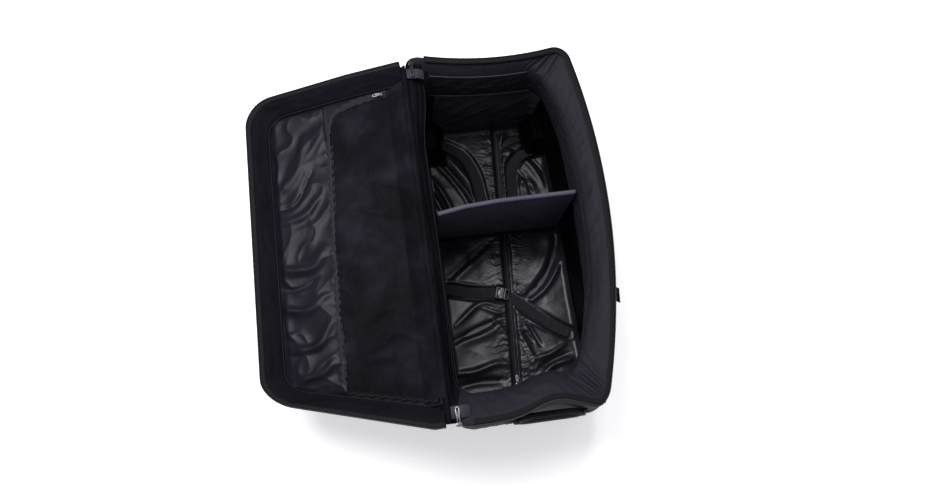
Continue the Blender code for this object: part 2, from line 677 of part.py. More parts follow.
def make_lid():
    up = lid_point(0, 0, 1) - lid_point(0, 0, 0)
    lid_slab("lid_panel", 0.050, 0.010, -0.014, -LID_DEPTH, 0.004, "polyester", up)
    lid_slab("lid_lining", 0.056, 0.014, -0.010, -LID_DEPTH + 0.004, 0.0014, "lining", up)
    for side in ("wheel_end", "outer", "handle_end"):
        lines = [lid_line(0.0, -0.003, side, 1.4), lid_line(0.047, -LID_DEPTH + 0.006, side, 1.4)]
        sheet_between("lid_" + side + "_band", lines, "padded_band", 0.004, up)
    path, other = [], []
    for side in ("wheel_end", "outer", "handle_end"):
        skip = 0 if side == "wheel_end" else 1
        path += lid_line(0.0, -0.0006, side)[skip:]
        other += lid_line(0.010, -0.0066, side)[skip:]
    sheet_between("lid_zip_tape", [path, other], "zip_tape", 0.0012, up)


POCKET_OUT = 0.262
POCKET_NEAR_Y = -0.405
POCKET_FAR_Y = 0.416
POCKET_SLIDER = (0.078, 0.406)


def make_lid_pocket():
    """A flat mesh pocket beside the hinge, closed along its far and outer edges by a zip."""
    up = lid_point(0, 0, 1) - lid_point(0, 0, 0)
    lines = []
    for i in range(8):
        s = (0.022, 0.062, 0.100, 0.145, 0.190, 0.224, 0.247, POCKET_OUT)[i]
        n = -0.0075 - (LID_DEPTH - 0.0145) * min(1.0, (s - 0.022) / 0.040)
        pull_in = 0.030 * max(0.0, (i - 4) / 3) ** 2
        y0, y1 = POCKET_NEAR_Y + pull_in * 0.4, POCKET_FAR_Y - pull_in * 1.3
        lines.append([lid_point(s, y0 + (y1 - y0) * j / 8, n) for j in range(9)])
    sheet_between("lid_mesh_pocket", lines, "mesh", 0.0012, up)
    n = -LID_DEPTH + 0.0094
    route = [(0.066, 0.408), (0.120, 0.406), (0.174, 0.400), (0.212, 0.382), (0.229, 0.335),
             (0.235, 0.230), (0.241, 0.060), (0.247, -0.120), (0.250, -0.230), (0.250, -0.378)]
    path = curve_points([lid_point(s, y, n) for s, y in route], 3)
    ribbon("pocket_zip_tape", path, 0.020, 0.0012, up, "zip_tape")
    s, y = POCKET_SLIDER
    slider = block("pocket_zip_slider", (-0.007, -0.005, -0.0028), (0.007, 0.005, 0.0028), "zip_metal",
                   (0, 0, 0), 0.0, bevel=0.0008)
    place = Matrix.Translation(lid_point(s, y, n + 0.0042))
    slider.matrix_world = place @ Matrix.Rotation(-LID_DROOP, 4, "Y")
    pivot = lid_point(s - 0.004, y, n + 0.0084)
    path = [lid_point(s - 0.005, y, n + 0.0084), lid_point(s - 0.031, y, n + 0.0084)]
    ribbon("pocket_zip_pull", path, 0.009, 0.0016, up, "zip_metal", pivot)


def make_kick_plate():
    """A plastic guard outside the foot of the wheel end wall."""
    half = 0.145
    slope = (MIDDLE["y"][1] - BASE["y"][1]) / (MIDDLE["z"] - BASE["z"])
    lines = []
    for z in (0.0175, 0.079):
        y = BASE_HALF_Y + 0.0038 + slope * (z - BASE["z"]) + 0.002
        lines.append([Vector((-half + 2 * half * i / 6, y, z)) for i in range(7)])
    sheet_between("wheel_end_kick_plate", lines, "plastic", 0.0025, (0, 1, 0))


def main():
    for old in list(bpy.data.objects):
        bpy.data.objects.remove(old)
    cutters = wheel_corner_cutters()
    make_base(cutters)
    for hand, name in ((-1, "back"), (1, "front")):
        make_wheel(hand, name)
    make_walls(cutters)
    make_rim_zip_tape()
    make_lining(cutters)
    make_divider()
    make_lining_zip()
    make_main_zip()
    make_tie_downs()
    for hand, name, axis_x in ((1, "front", HANDLE_FRONT_X), (-1, "back", HANDLE_BACK_X)):
        make_wall_webbing(hand, name)
        make_carry_handle(hand, name, axis_x)
    make_hand_wrap()
    make_end_handle()
    make_lid()
    make_lid_pocket()
    make_kick_plate()


main()
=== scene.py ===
import math

import bmesh
import bpy
import numpy as np
from mathutils import Matrix, Vector


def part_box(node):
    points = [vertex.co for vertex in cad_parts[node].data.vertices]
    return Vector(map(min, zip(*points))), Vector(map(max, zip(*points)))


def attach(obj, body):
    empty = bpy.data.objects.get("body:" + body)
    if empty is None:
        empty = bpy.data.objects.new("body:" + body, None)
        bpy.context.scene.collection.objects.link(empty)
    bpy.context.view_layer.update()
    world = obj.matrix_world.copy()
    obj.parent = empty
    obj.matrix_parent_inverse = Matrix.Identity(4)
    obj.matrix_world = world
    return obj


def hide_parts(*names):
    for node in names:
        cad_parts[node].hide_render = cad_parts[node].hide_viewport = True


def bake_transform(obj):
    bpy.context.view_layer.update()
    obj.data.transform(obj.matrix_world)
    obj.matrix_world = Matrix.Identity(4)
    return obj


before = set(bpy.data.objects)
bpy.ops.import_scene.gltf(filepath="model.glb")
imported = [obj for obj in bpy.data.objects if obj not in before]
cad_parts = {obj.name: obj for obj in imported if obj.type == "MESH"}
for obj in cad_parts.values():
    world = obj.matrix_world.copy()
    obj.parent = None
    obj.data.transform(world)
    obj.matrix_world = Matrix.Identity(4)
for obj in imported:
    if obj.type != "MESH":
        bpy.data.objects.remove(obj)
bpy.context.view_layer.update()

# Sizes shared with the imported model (metres, +Z up, wheels at +Y, lid hinge at -X) ---------
MM = 0.001
RIM_Z = 0.356
RIM_BACK_X = -0.230
RIM_FRONT_X = 0.225
RIM_WHEEL_Y = 0.471
RIM_HANDLE_Y = -0.466
FLOOR_Z = 0.0217
STRAP_Z = 0.0249
SEAM_Z = 0.232
DIVIDER_FOOT_Y = 0.100
DIVIDER_TOP = 0.314
DIVIDER_TOP_LINE = [(-0.192, 0.063), (-0.120, 0.076), (-0.030, 0.083), (0.070, 0.085), (0.170, 0.087)]
LID_DROOP = math.radians(18)
LID_AXIS = (-0.232, 0.372)
LID_DEPTH = 0.036
LID_LENGTH = 0.452
LID_Y = (-0.462, 0.474)
LID_BAND = 0.047
LID_START = 0.014
END_AXIS = (0.012, -0.4665, 0.301)
END_REACH = 0.084
HANDLE_ENDS_Y = (-0.190, 0.200)
HANDLE_AXIS_Z = 0.275
HANDLE_DROP = 0.150
HANDLE_LEAN = {"front": 0.012, "back": 0.0}
HANDLE_X = {"front": 0.254, "back": -0.238}
WHEEL_CORNER = {"x": 0.153, "y": 0.363, "z": 0.087}
UP = (0, 0, 1)


# Numbers that vary smoothly ------------------------------------------------------------------
def lattice(ix, iy, seed):
    """A repeatable direction at each point of a grid."""
    n = (ix * 374761393 + iy * 668265263 + seed * 974634777) & 0xFFFFFFFF
    n = ((n ^ (n >> 13)) * 1274126177) & 0xFFFFFFFF
    angle = ((n ^ (n >> 16)) & 0xFFFF) / 65535.0 * 2 * math.pi
    return np.cos(angle), np.sin(angle)


def noise(x, y, seed=0):
    """Gradient noise, about -0.7 to 0.7."""
    x, y = np.broadcast_arrays(np.asarray(x, float), np.asarray(y, float))
    ix, iy = np.floor(x).astype(np.int64), np.floor(y).astype(np.int64)
    fx, fy = x - ix, y - iy
    total = np.zeros(x.shape)
    wx, wy = fx ** 3 * (fx * (fx * 6 - 15) + 10), fy ** 3 * (fy * (fy * 6 - 15) + 10)
    for dx in (0, 1):
        for dy in (0, 1):
            gx, gy = lattice(ix + dx, iy + dy, seed)
            dot = gx * (fx - dx) + gy * (fy - dy)
            total += dot * (wx if dx else 1 - wx) * (wy if dy else 1 - wy)
    return total


def layers(x, y, seed=0, octaves=3):
    """Noise with finer noise added to it."""
    total, size = 0.0, 1.0
    for i in range(octaves):
        total = total + noise(np.asarray(x) * 2 ** i, np.asarray(y) * 2 ** i, seed + 17 * i) * size
        size *= 0.5
    return total


def creases(x, y, seed=0, octaves=3):
    """Sharp-crested noise, 0 in the hollows and 1 on the crests."""
    total, size, reach = 0.0, 1.0, 0.0
    for i in range(octaves):
        value = noise(np.asarray(x) * 1.9 ** i, np.asarray(y) * 1.9 ** i, seed + 31 * i)
        wave = 1 - np.minimum(1, np.abs(value) * 2.6)
        total = total + wave ** 2 * size
        reach += size
        size *= 0.5
    return total / reach


def ease(t):
    t = np.clip(t, 0, 1)
    return t * t * (3 - 2 * t)


def fold(x, y, points, width, height):
    """The height that one rounded fold along a given line adds, fading towards its ends."""
    best = np.full(np.shape(x), 1e9)
    along = np.zeros(np.shape(x))
    line = smooth_line(points, 6)
    reach = lengths(line)
    for (ax, ay), (bx, by), start, end in zip(line[:-1, :2], line[1:, :2], reach[:-1], reach[1:]):
        dx, dy = bx - ax, by - ay
        t = np.clip(((x - ax) * dx + (y - ay) * dy) / (dx * dx + dy * dy), 0, 1)
        d = np.hypot(x - (ax + dx * t), y - (ay + dy * t))
        along = np.where(d < best, (start + t * (end - start)) / reach[-1], along)
        best = np.minimum(best, d)
    taper = np.sin(np.pi * np.clip(along * 0.92 + 0.04, 0, 1)) ** 0.5
    return height * taper * np.exp(-(best / width) ** 2)


def folds(x, y, table):
    """The height that a table of folds adds; the table is in millimetres."""
    return sum(fold(x, y, np.array(points) * MM, width * MM, height * MM)
               for width, height, *points in table)


def pressed_line(x, y, points, width):
    """1 on a line of points and 0 beyond width from it, for pressing cloth flat under something."""
    best = np.full(np.shape(x), 1e9)
    line = smooth_line(points, 6)
    for a, b in zip(line[:-1, :2], line[1:, :2]):
        d = b - a
        t = np.clip(((x - a[0]) * d[0] + (y - a[1]) * d[1]) / (d @ d), 0, 1)
        best = np.minimum(best, np.hypot(x - a[0] - d[0] * t, y - a[1] - d[1] * t))
    return 1 - ease((best - width) / 0.012)


# Lines and outlines --------------------------------------------------------------------------
def smooth_line(points, per_span=8):
    """Points read from a smooth curve through the given ones."""
    p = np.array(points, float)
    if p.shape[1] == 2:
        p = np.column_stack([p, np.zeros(len(p))])
    ends = np.vstack([2 * p[0] - p[1], p, 2 * p[-1] - p[-2]])
    out = []
    for i in range(1, len(ends) - 2):
        a, b, c, d = ends[i - 1:i + 3]
        for k in range(per_span):
            t = k / per_span
            out.append(0.5 * (2 * b + (c - a) * t + (2 * a - 5 * b + 4 * c - d) * t ** 2
                              + (3 * b - a - 3 * c + d) * t ** 3))
    out.append(p[-1])
    return np.array(out)


def lengths(points):
    """How far along a line each of its points is."""
    return np.concatenate([[0], np.cumsum(np.linalg.norm(np.diff(points, axis=0), axis=1))])


def even_line(points, step):
    """The same line with its points a fixed step apart."""
    p = np.asarray(points, float)
    reach = lengths(p)
    count = max(2, int(round(reach[-1] / step)) + 1)
    at = np.linspace(0, reach[-1], count)
    return np.column_stack([np.interp(at, reach, p[:, k]) for k in range(3)])


def front_edge(y):
    return 0.237 - 0.29 * (y - 0.13) ** 2


def soften(x, y, amount, cut):
    """Where the slack fabric stands, from the nominal outline. cut takes the front corners in."""
    bulge = 1 + amount * (front_edge(y) / RIM_FRONT_X - 1)
    bulge = bulge * (1 - cut * (np.maximum(0, np.abs(y - 0.06) - 0.2) / 0.2) ** 1.5)
    x = x * np.where(x > 0, bulge, 1)
    sag = 1 - amount * 0.070 * np.exp(-((x - 0.02) / 0.075) ** 2)
    return x, np.where(y > 0, y * (1 + amount * 1.25 * x * x), y * sag)


def level(x0, x1, y0, y1, radius, z, soft, cut=0.0):
    return np.array([x0, x1, y0, y1, radius, z, soft, cut])


HEIGHT = 5       # where a level keeps its height
BASE = level(-0.195, 0.195, -0.445, 0.445, 0.050, 0.0156, 0.0)
MIDDLE = level(-0.215, 0.222, -0.459, 0.463, 0.058, 0.180, 0.5)
RIM = level(RIM_BACK_X, RIM_FRONT_X, RIM_HANDLE_Y, RIM_WHEEL_Y, 0.042, RIM_Z, 1.0)
MOUTH = level(-0.203, 0.170, -0.393, 0.438, 0.040, 0.322, 1.0, 0.24)
LINING_TOP = level(-0.203, 0.170, -0.393, 0.438, 0.040, 0.313, 1.0, 0.24)
LINING_FLOOR = level(-0.186, 0.186, -0.436, 0.436, 0.044, FLOOR_Z, 0.0)

ARC, LONG_RUN, SHORT_RUN = 10, 170, 74


def ring(lev):
    """A level's rounded outline, anticlockwise from the middle of the front, handle end corner."""
    x0, x1, y0, y1, r, z, soft, cut = lev
    centres = [(x1 - r, y0 + r), (x1 - r, y1 - r), (x0 + r, y1 - r), (x0 + r, y0 + r)]
    plan = []
    for turn in range(4):
        first, second = centres[turn], centres[(turn + 1) % 4]
        middle = math.radians(90 * turn)
        for i in range(ARC):
            a = middle - math.radians(45) * (1 - i / ARC)
            plan.append((first[0] + r * math.cos(a), first[1] + r * math.sin(a)))
        run = LONG_RUN if turn % 2 == 0 else SHORT_RUN
        for i in range(run):
            t = i / run
            plan.append((first[0] + (second[0] - first[0]) * t + r * math.cos(middle),
                         first[1] + (second[1] - first[1]) * t + r * math.sin(middle)))
        for i in range(ARC):
            a = middle + math.radians(45) * i / ARC
            plan.append((second[0] + r * math.cos(a), second[1] + r * math.sin(a)))
    plan = np.array(plan)
    x, y = soften(plan[:, 0], plan[:, 1], soft, cut)
    return np.column_stack([x, y, np.full(len(x), z)])


SIDE_COUNT = {"front": 2 * ARC + LONG_RUN, "wheel_end": 2 * ARC + SHORT_RUN}
WHEEL_START = SIDE_COUNT["front"]
BACK_START = WHEEL_START + SIDE_COUNT["wheel_end"]
HANDLE_START = BACK_START + SIDE_COUNT["front"]
RING_COUNT = HANDLE_START + SIDE_COUNT["wheel_end"]


def plan_normals(line):
    """Outward directions, level with the floor, along a closed anticlockwise outline."""
    ahead, behind = np.roll(line, -1, 0), np.roll(line, 1, 0)
    d = ahead - behind
    n = np.column_stack([d[:, 1], -d[:, 0], np.zeros(len(d))])
    return n / np.linalg.norm(n, axis=1, keepdims=True)


def lid_xyz(s, y, n):
    """A point of the lid: s out from the hinge, n above the lid's plane on its inner side."""
    s, y, n = np.broadcast_arrays(np.asarray(s, float), np.asarray(y, float), np.asarray(n, float))
    near = 1 - 0.66 * np.maximum(0, s - 0.04)
    far = 1 - 0.10 * np.maximum(0, s - 0.16)
    y = y * np.where(y < 0, near, far)
    c, d = math.cos(LID_DROOP), math.sin(LID_DROOP)
    return np.stack([LID_AXIS[0] - s * c - n * d, y, LID_AXIS[1] - s * d + n * c], -1)


LID_UP = lid_xyz(0, 0, 1) - lid_xyz(0, 0, 0)


def lid_limits(inset):
    """The lid's outer edge, its two ends and its corner radius, inset from its outline."""
    return LID_LENGTH - inset, LID_Y[0] + inset, LID_Y[1] - inset, 0.075 - inset * 0.4


def lid_outline(inset):
    """(s, y) points round the lid's three free sides, from the wheel end's hinge corner."""
    s1, y0, y1, r = lid_limits(inset)
    turn = np.linspace(0, math.pi / 2, 14)
    line = [(LID_START, y1), (s1 - r, y1)]
    line += [(s1 - r + r * math.sin(a), y1 - r + r * math.cos(a)) for a in turn[1:]]
    line += [(s1 - r + r * math.sin(a), y0 + r - r * math.cos(a)) for a in turn[::-1]]
    return np.array(line + [(LID_START, y0)])


def lid_ring(inset, n):
    """The lid's three-sided outline with a fixed number of points, matched between insets."""
    line = lid_outline(inset)
    reach = lengths(lid_outline(0.0))
    at = np.linspace(0, reach[-1], 360)
    s, y = (np.interp(at, reach, line[:, k]) for k in (0, 1))
    return lid_xyz(s, y, n), s, y


# Meshes --------------------------------------------------------------------------------------
def new_mesh(name, verts, faces, material, uv=None):
    mesh = bpy.data.meshes.new(name)
    mesh.from_pydata(np.asarray(verts, float).tolist(), [], [tuple(int(i) for i in f) for f in faces])
    if uv is not None:
        layer = mesh.uv_layers.new(name="cloth")
        loops = np.zeros(len(mesh.loops), np.int32)
        mesh.loops.foreach_get("vertex_index", loops)
        layer.data.foreach_set("uv", np.asarray(uv, float)[loops].ravel())
    mesh.shade_smooth()
    mesh.materials.append(material)
    piece = bpy.data.objects.new(name, mesh)
    bpy.context.scene.collection.objects.link(piece)
    return piece


def cloth_uv(points):
    """Lengths along and across a grid, in metres, so that a weave keeps its scale."""
    across = np.linalg.norm(np.diff(points, axis=0), axis=2).mean(1)
    along = np.linalg.norm(np.diff(points, axis=1), axis=2).mean(0)
    v = np.concatenate([[0], np.cumsum(across)])
    u = np.concatenate([[0], np.cumsum(along)])
    return np.stack(np.meshgrid(u, v), -1).reshape(-1, 2)


def quads(index):
    """The faces between neighbouring rows and columns of vertex numbers."""
    return np.stack([index[:-1, :-1], index[:-1, 1:], index[1:, 1:], index[1:, :-1]], -1).reshape(-1, 4)


def grid(name, points, material, closed=False, wanted=None, keep=None):
    """A quad mesh through rows x columns of points. wanted is a direction its middle face turns to."""
    rows, cols = points.shape[:2]
    uv = cloth_uv(points)
    index = np.arange(rows * cols).reshape(rows, cols)
    if closed:
        index = np.concatenate([index, index[:, :1]], 1)
    faces = quads(index)
    verts = points.reshape(-1, 3)
    if keep is not None:
        faces = faces[keep(verts[faces].mean(1))]
    if wanted is not None:
        middle = faces[len(faces) // 2]
        a, b, c = verts[middle[0]], verts[middle[1]], verts[middle[2]]
        if np.dot(np.cross(b - a, c - b), wanted) < 0:
            faces = faces[:, ::-1]
    used, flat = np.unique(faces, return_inverse=True)
    return new_mesh(name, verts[used], flat.reshape(-1, 4), material, uv[used])


def solidify(piece, depth, offset=-1.0):
    edge = piece.modifiers.new("thickness", "SOLIDIFY")
    edge.thickness = depth
    edge.offset = offset
    return piece


def apply_modifiers(piece):
    bpy.context.view_layer.update()
    evaluated = piece.evaluated_get(bpy.context.evaluated_depsgraph_get())
    mesh = bpy.data.meshes.new_from_object(evaluated)
    piece.modifiers.clear()
    piece.data = mesh
    return piece


def frames(path, face, closed=False):
    """Directions along a path, up from it and sideways, with up kept near the wanted face."""
    p = np.asarray(path, float)
    if closed:
        along = np.roll(p, -1, 0) - np.roll(p, 1, 0)
    else:
        along = np.gradient(p, axis=0)
    along /= np.linalg.norm(along, axis=1, keepdims=True)
    face = np.broadcast_to(np.asarray(face, float), p.shape)
    side = np.cross(along, face)
    side /= np.linalg.norm(side, axis=1, keepdims=True)
    return along, np.cross(side, along), side


def sweep(name, path, profile, material, face=UP, closed=False, scale=None):
    """A solid drawn along a path: profile points are (sideways, up), anticlockwise."""
    p = np.asarray(path, float)
    along, up, side = frames(p, face, closed)
    profile = np.asarray(profile, float)
    size = np.ones(len(p)) if scale is None else np.asarray(scale, float)
    pts = (p[:, None] + side[:, None] * profile[None, :, :1] * size[:, None, None]
           + up[:, None] * profile[None, :, 1:2] * size[:, None, None])
    rows, cols = pts.shape[:2]
    index = np.arange(rows * cols).reshape(rows, cols)
    index = np.concatenate([index, index[:, :1]], 1)
    if closed:
        index = np.concatenate([index, index[:1]], 0)
    faces = [tuple(face) for face in quads(index)]
    if not closed:
        faces += [tuple(range(cols))[::-1], tuple((rows - 1) * cols + i for i in range(cols))]
    length = lengths(p)
    girth = lengths(profile)
    uv = np.stack(np.meshgrid(girth, length), -1).reshape(-1, 2)
    piece = new_mesh(name, pts.reshape(-1, 3), faces, material, uv)
    fix_outward(piece)
    return piece


def fix_outward(piece):
    work = bmesh.new()
    work.from_mesh(piece.data)
    bmesh.ops.recalc_face_normals(work, faces=work.faces)
    work.to_mesh(piece.data)
    work.free()


def round_profile(radius, count=8):
    return [(radius * math.cos(a), radius * math.sin(a))
            for a in np.linspace(0, 2 * math.pi, count, endpoint=False)]


def webbing_profile(width, thick):
    """A flat woven band with soft thick edges."""
    h, t, e = width / 2, thick / 2, thick * 0.55
    top = [(h, 0), (h - e * 0.35, t * 0.9), (h - e * 1.6, t * 1.15), (h * 0.55, t * 0.85), (0, t * 0.95)]
    top += [(-x, z) for x, z in reversed(top[:-1])]
    return top + [(x, -z) for x, z in reversed(top[1:-1])]


def joined(name, pieces):
    """Several meshes made into one piece."""
    verts, faces, uvs, start = [], [], [], 0
    materials = []
    slots = []
    for piece in pieces:
        mesh = piece.data
        co = np.zeros(len(mesh.vertices) * 3)
        mesh.vertices.foreach_get("co", co)
        matrix = np.array(piece.matrix_world)
        co = co.reshape(-1, 3) @ matrix[:3, :3].T + matrix[:3, 3]
        verts.append(co)
        if mesh.materials[0] not in materials:
            materials.append(mesh.materials[0])
        for face in mesh.polygons:
            faces.append(tuple(i + start for i in face.vertices))
            slots.append(materials.index(mesh.materials[0]))
        uvs.append(vertex_uv(mesh))
        start += len(co)
    made = new_mesh(name, np.concatenate(verts), faces, materials[0], np.concatenate(uvs))
    for material in materials[1:]:
        made.data.materials.append(material)
    made.data.polygons.foreach_set("material_index", slots)
    for piece in pieces:
        bpy.data.objects.remove(piece)
    return made


def vertex_uv(mesh):
    out = np.zeros((len(mesh.vertices), 2))
    if mesh.uv_layers:
        loops = np.zeros(len(mesh.loops), np.int32)
        mesh.loops.foreach_get("vertex_index", loops)
        uv = np.zeros(len(mesh.loops) * 2)
        mesh.uv_layers[0].data.foreach_get("uv", uv)
        out[loops] = uv.reshape(-1, 2)
    return out


def place(piece, body, slot, *nodes):
    """Ties a finished piece to its body and hides the CAD nodes it stands for. slot is not used."""
    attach(piece, body)
    if nodes:
        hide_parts(*nodes)
    return piece


def matched(face, count):
    """The way a surface looks at each of count points, from one direction or a list of them."""
    if np.ndim(face) == 1:
        return face
    source, at = np.linspace(0, 1, len(face)), np.linspace(0, 1, count)
    return np.column_stack([np.interp(at, source, face[:, k]) for k in range(3)])


def stitches(name, path, face, pitch=0.0042, length=0.0030):
    """A row of separate stitches lying on a surface."""
    radius, lift = 0.00042, 0.0002
    p = even_line(path, pitch)
    along, up, side = frames(p, matched(face, len(p)))
    verts, faces = [], []
    for i in range(len(p)):
        c = p[i] + up[i] * lift
        a, u, s = along[i] * length / 2, up[i] * radius, side[i] * radius
        k = len(verts)
        verts += [c - a - u * 0.8, c - a * 0.5 + s, c - a * 0.5 + u, c - a * 0.5 - s, c - a * 0.5 - u,
                  c + a * 0.5 + s, c + a * 0.5 + u, c + a * 0.5 - s, c + a * 0.5 - u, c + a - u * 0.8]
        for j in range(4):
            m = (j + 1) % 4
            faces += [(k, k + 1 + m, k + 1 + j), (k + 1 + j, k + 1 + m, k + 5 + m, k + 5 + j),
                      (k + 9, k + 5 + j, k + 5 + m)]
    return new_mesh(name, verts, faces, THREAD, np.zeros((len(verts), 2)))


def teeth(name, path, face, radius):
    """A zip's coil: a thin rib whose turns bulge in and out."""
    pitch = 0.0026
    p = even_line(path, pitch / 3)
    turn = np.array([0.62, 1.0, 1.0])[np.arange(len(p)) % 3]
    return sweep(name, p, round_profile(radius, 6), COIL, matched(face, len(p)), scale=turn)


def pipe(name, path, radius, face, body, slot, cloth=None, closed=False):
    """A round cord of cloth sewn along a line, piping unless another cloth is given."""
    piece = sweep(name, path, round_profile(radius), cloth or PIPING_CLOTH, face, closed=closed)
    return place(piece, body, slot)


# Materials -----------------------------------------------------------------------------------
def fill(tree, target, inputs):
    """Sets a node's inputs, each to a constant or to another node's output."""
    for name, value in inputs.items():
        if isinstance(value, bpy.types.NodeSocket):
            tree.links.new(value, target.inputs[name])
        else:
            target.inputs[name].default_value = value


def add(tree, kind, inputs, **settings):
    """A new shader node with its settings and inputs."""
    made = tree.nodes.new("ShaderNode" + kind)
    for name, value in settings.items():
        setattr(made, name, value)
    fill(tree, made, inputs)
    return made


def new_material(name):
    material = bpy.data.materials.new(name)
    material.use_nodes = True
    tree = material.node_tree
    return material, tree, tree.nodes["Principled BSDF"]


def clouds(tree, scale, detail=3.0, rough=0.55, output="Fac"):
    place_at = add(tree, "TexCoord", {}).outputs["Object"]
    inputs = {"Scale": scale, "Detail": detail, "Roughness": rough, "Vector": place_at}
    return add(tree, "TexNoise", inputs).outputs[output]


def ramp(tree, source, stops):
    """A colour for each share of a source: stops are (share, colour)."""
    made = add(tree, "ValToRGB", {"Fac": source})
    elements = made.color_ramp.elements
    while len(elements) < len(stops):
        elements.new(0.5)
    for element, (at, colour) in zip(elements, stops):
        element.position = at
        element.color = (*colour, 1)
    return made.outputs["Color"]


def dye(tree, shader, source, colour, stops):
    """Colours the shader unevenly: stops are (share of the source, how strong the dye is)."""
    tints = [(at, tuple(c * strength for c in colour)) for at, strength in stops]
    fill(tree, shader, {"Base Color": ramp(tree, source, tints)})


def combine(tree, operation, a, b):
    return add(tree, "Math", {0: a, 1: b}, operation=operation).outputs[0]


def vary_roughness(tree, shader, source, low, high):
    varied = add(tree, "MapRange", {"To Min": low, "To Max": high, "Value": source})
    fill(tree, shader, {"Roughness": varied.outputs["Result"]})


def cloth_place(tree):
    return add(tree, "UVMap", {}, uv_map="cloth").outputs["UV"]


def ribs(tree, at, direction, spacing, **inputs):
    """Waves a real spacing apart: 0.314 is the wave node's own scale for one metre."""
    inputs = {"Scale": 0.314 / spacing, "Vector": at, **inputs}
    return add(tree, "TexWave", inputs, bands_direction=direction).outputs["Fac"]


def weave_height(tree, thread):
    """The height of a plain weave, from two sets of threads that cross."""
    at = cloth_place(tree)
    sets = [ribs(tree, at, direction, thread, Distortion=0.6, Detail=1.0) for direction in ("X", "Y")]
    return combine(tree, "MULTIPLY", *sets)


def bump(tree, shader, height, strength, distance, under=None):
    inputs = {"Strength": strength, "Distance": distance, "Height": height}
    if under is not None:
        inputs["Normal"] = under
    normal = add(tree, "Bump", inputs).outputs["Normal"]
    fill(tree, shader, {"Normal": normal})
    return normal


def fabric(name, colour, roughness, thread=0.0011, weave=0.35, blotch=0.22, crumple=0.25, specular=0.12):
    """Woven cloth: threads, faint crumples, uneven dye and a roughness that varies with it."""
    material, tree, shader = new_material(name)
    large = clouds(tree, 9.0, 4.0)
    fine = clouds(tree, 420.0, 2.0)
    mixed = combine(tree, "ADD", combine(tree, "MULTIPLY", large, 0.7), combine(tree, "MULTIPLY", fine, 0.3))
    dye(tree, shader, mixed, colour, [(0.28, 1 - blotch), (0.5, 1), (0.72, 1 + blotch)])
    vary_roughness(tree, shader, large, roughness - 0.1, roughness + 0.1)
    fill(tree, shader, {"Specular IOR Level": specular})
    soft = bump(tree, shader, clouds(tree, 28.0, 4.0, 0.6), crumple, 0.004)
    bump(tree, shader, weave_height(tree, thread), weave, 0.0003, soft)
    return material


def nylon(name, colour, roughness, crinkle, specular):
    """Thin shiny lining cloth with fine sharp crinkles."""
    material, tree, shader = new_material(name)
    dye(tree, shader, clouds(tree, 14.0, 4.0), colour, [(0.3, 0.75), (0.7, 1.25)])
    fill(tree, shader, {"Roughness": roughness, "Specular IOR Level": specular})
    place_at = add(tree, "TexCoord", {}).outputs["Object"]
    warp = clouds(tree, 18.0, 2.0, output="Color")
    bent = add(tree, "Mix", {"Factor": 0.06, 4: place_at, 5: warp}, data_type="VECTOR")
    cracks = add(tree, "TexVoronoi", {"Vector": bent.outputs[1]}, feature="DISTANCE_TO_EDGE")
    cracks.inputs["Scale"].default_value = 34.0
    sharp = ramp(tree, cracks.outputs["Distance"], [(0.0, (0, 0, 0)), (0.35, (1, 1, 1))])
    first = bump(tree, shader, sharp, crinkle, 0.0016)
    second = bump(tree, shader, clouds(tree, 38.0, 2.0, 0.5), crinkle, 0.0022, first)
    bump(tree, shader, weave_height(tree, 0.0007), 0.12, 0.0002, second)
    return material


def webbing_cloth(name, colour, roughness):
    """Strap webbing: thick ribs across, with a herringbone lean."""
    material, tree, shader = new_material(name)
    at = cloth_place(tree)
    lean = ribs(tree, at, "Y", 0.0016, Distortion=1.2, **{"Detail Scale": 3.0})
    height = combine(tree, "ADD", lean, combine(tree, "MULTIPLY", ribs(tree, at, "X", 0.0024), 0.7))
    mixed = combine(tree, "ADD", combine(tree, "MULTIPLY", height, 0.25), clouds(tree, 60.0, 3.0))
    dye(tree, shader, mixed, colour, [(0.35, 0.65), (1.0, 1.35)])
    fill(tree, shader, {"Roughness": roughness, "Specular IOR Level": 0.12})
    bump(tree, shader, height, 0.55, 0.0005)
    return material


def net(name, colour):
    """Knitted mesh: small rounded holes in a staggered grid, in unevenly dyed thread."""
    material, tree, shader = new_material(name)
    turned = add(tree, "Mapping", {"Vector": cloth_place(tree), "Rotation": (0, 0, math.radians(45))})
    waves = [ribs(tree, turned.outputs["Vector"], direction, 0.0034) for direction in ("X", "Y")]
    solid = ramp(tree, combine(tree, "MULTIPLY", *waves), [(0.30, (1, 1, 1)), (0.42, (0, 0, 0))])
    dye(tree, shader, clouds(tree, 9.0, 5.0, 0.6), colour, [(0.35, 0.45), (0.52, 1), (0.68, 2.4)])
    fill(tree, shader, {"Alpha": solid, "Roughness": 0.75, "Specular IOR Level": 0.05})
    bump(tree, shader, solid, 0.5, 0.0004)
    return material


def hard(name, colour, roughness, metallic=0.0, grain=220.0, depth=0.12, wear=0.25, specular=0.5):
    """Moulded plastic, rubber or metal with a fine grain and slight wear."""
    material, tree, shader = new_material(name)
    dirt = clouds(tree, 35.0, 5.0, 0.65)
    dye(tree, shader, dirt, colour, [(0.35, 1 - wear), (0.7, 1 + wear)])
    vary_roughness(tree, shader, dirt, roughness - 0.1, roughness + 0.12)
    fill(tree, shader, {"Metallic": metallic, "Specular IOR Level": specular})
    bump(tree, shader, clouds(tree, grain, 3.0), depth, 0.0008)
    return material


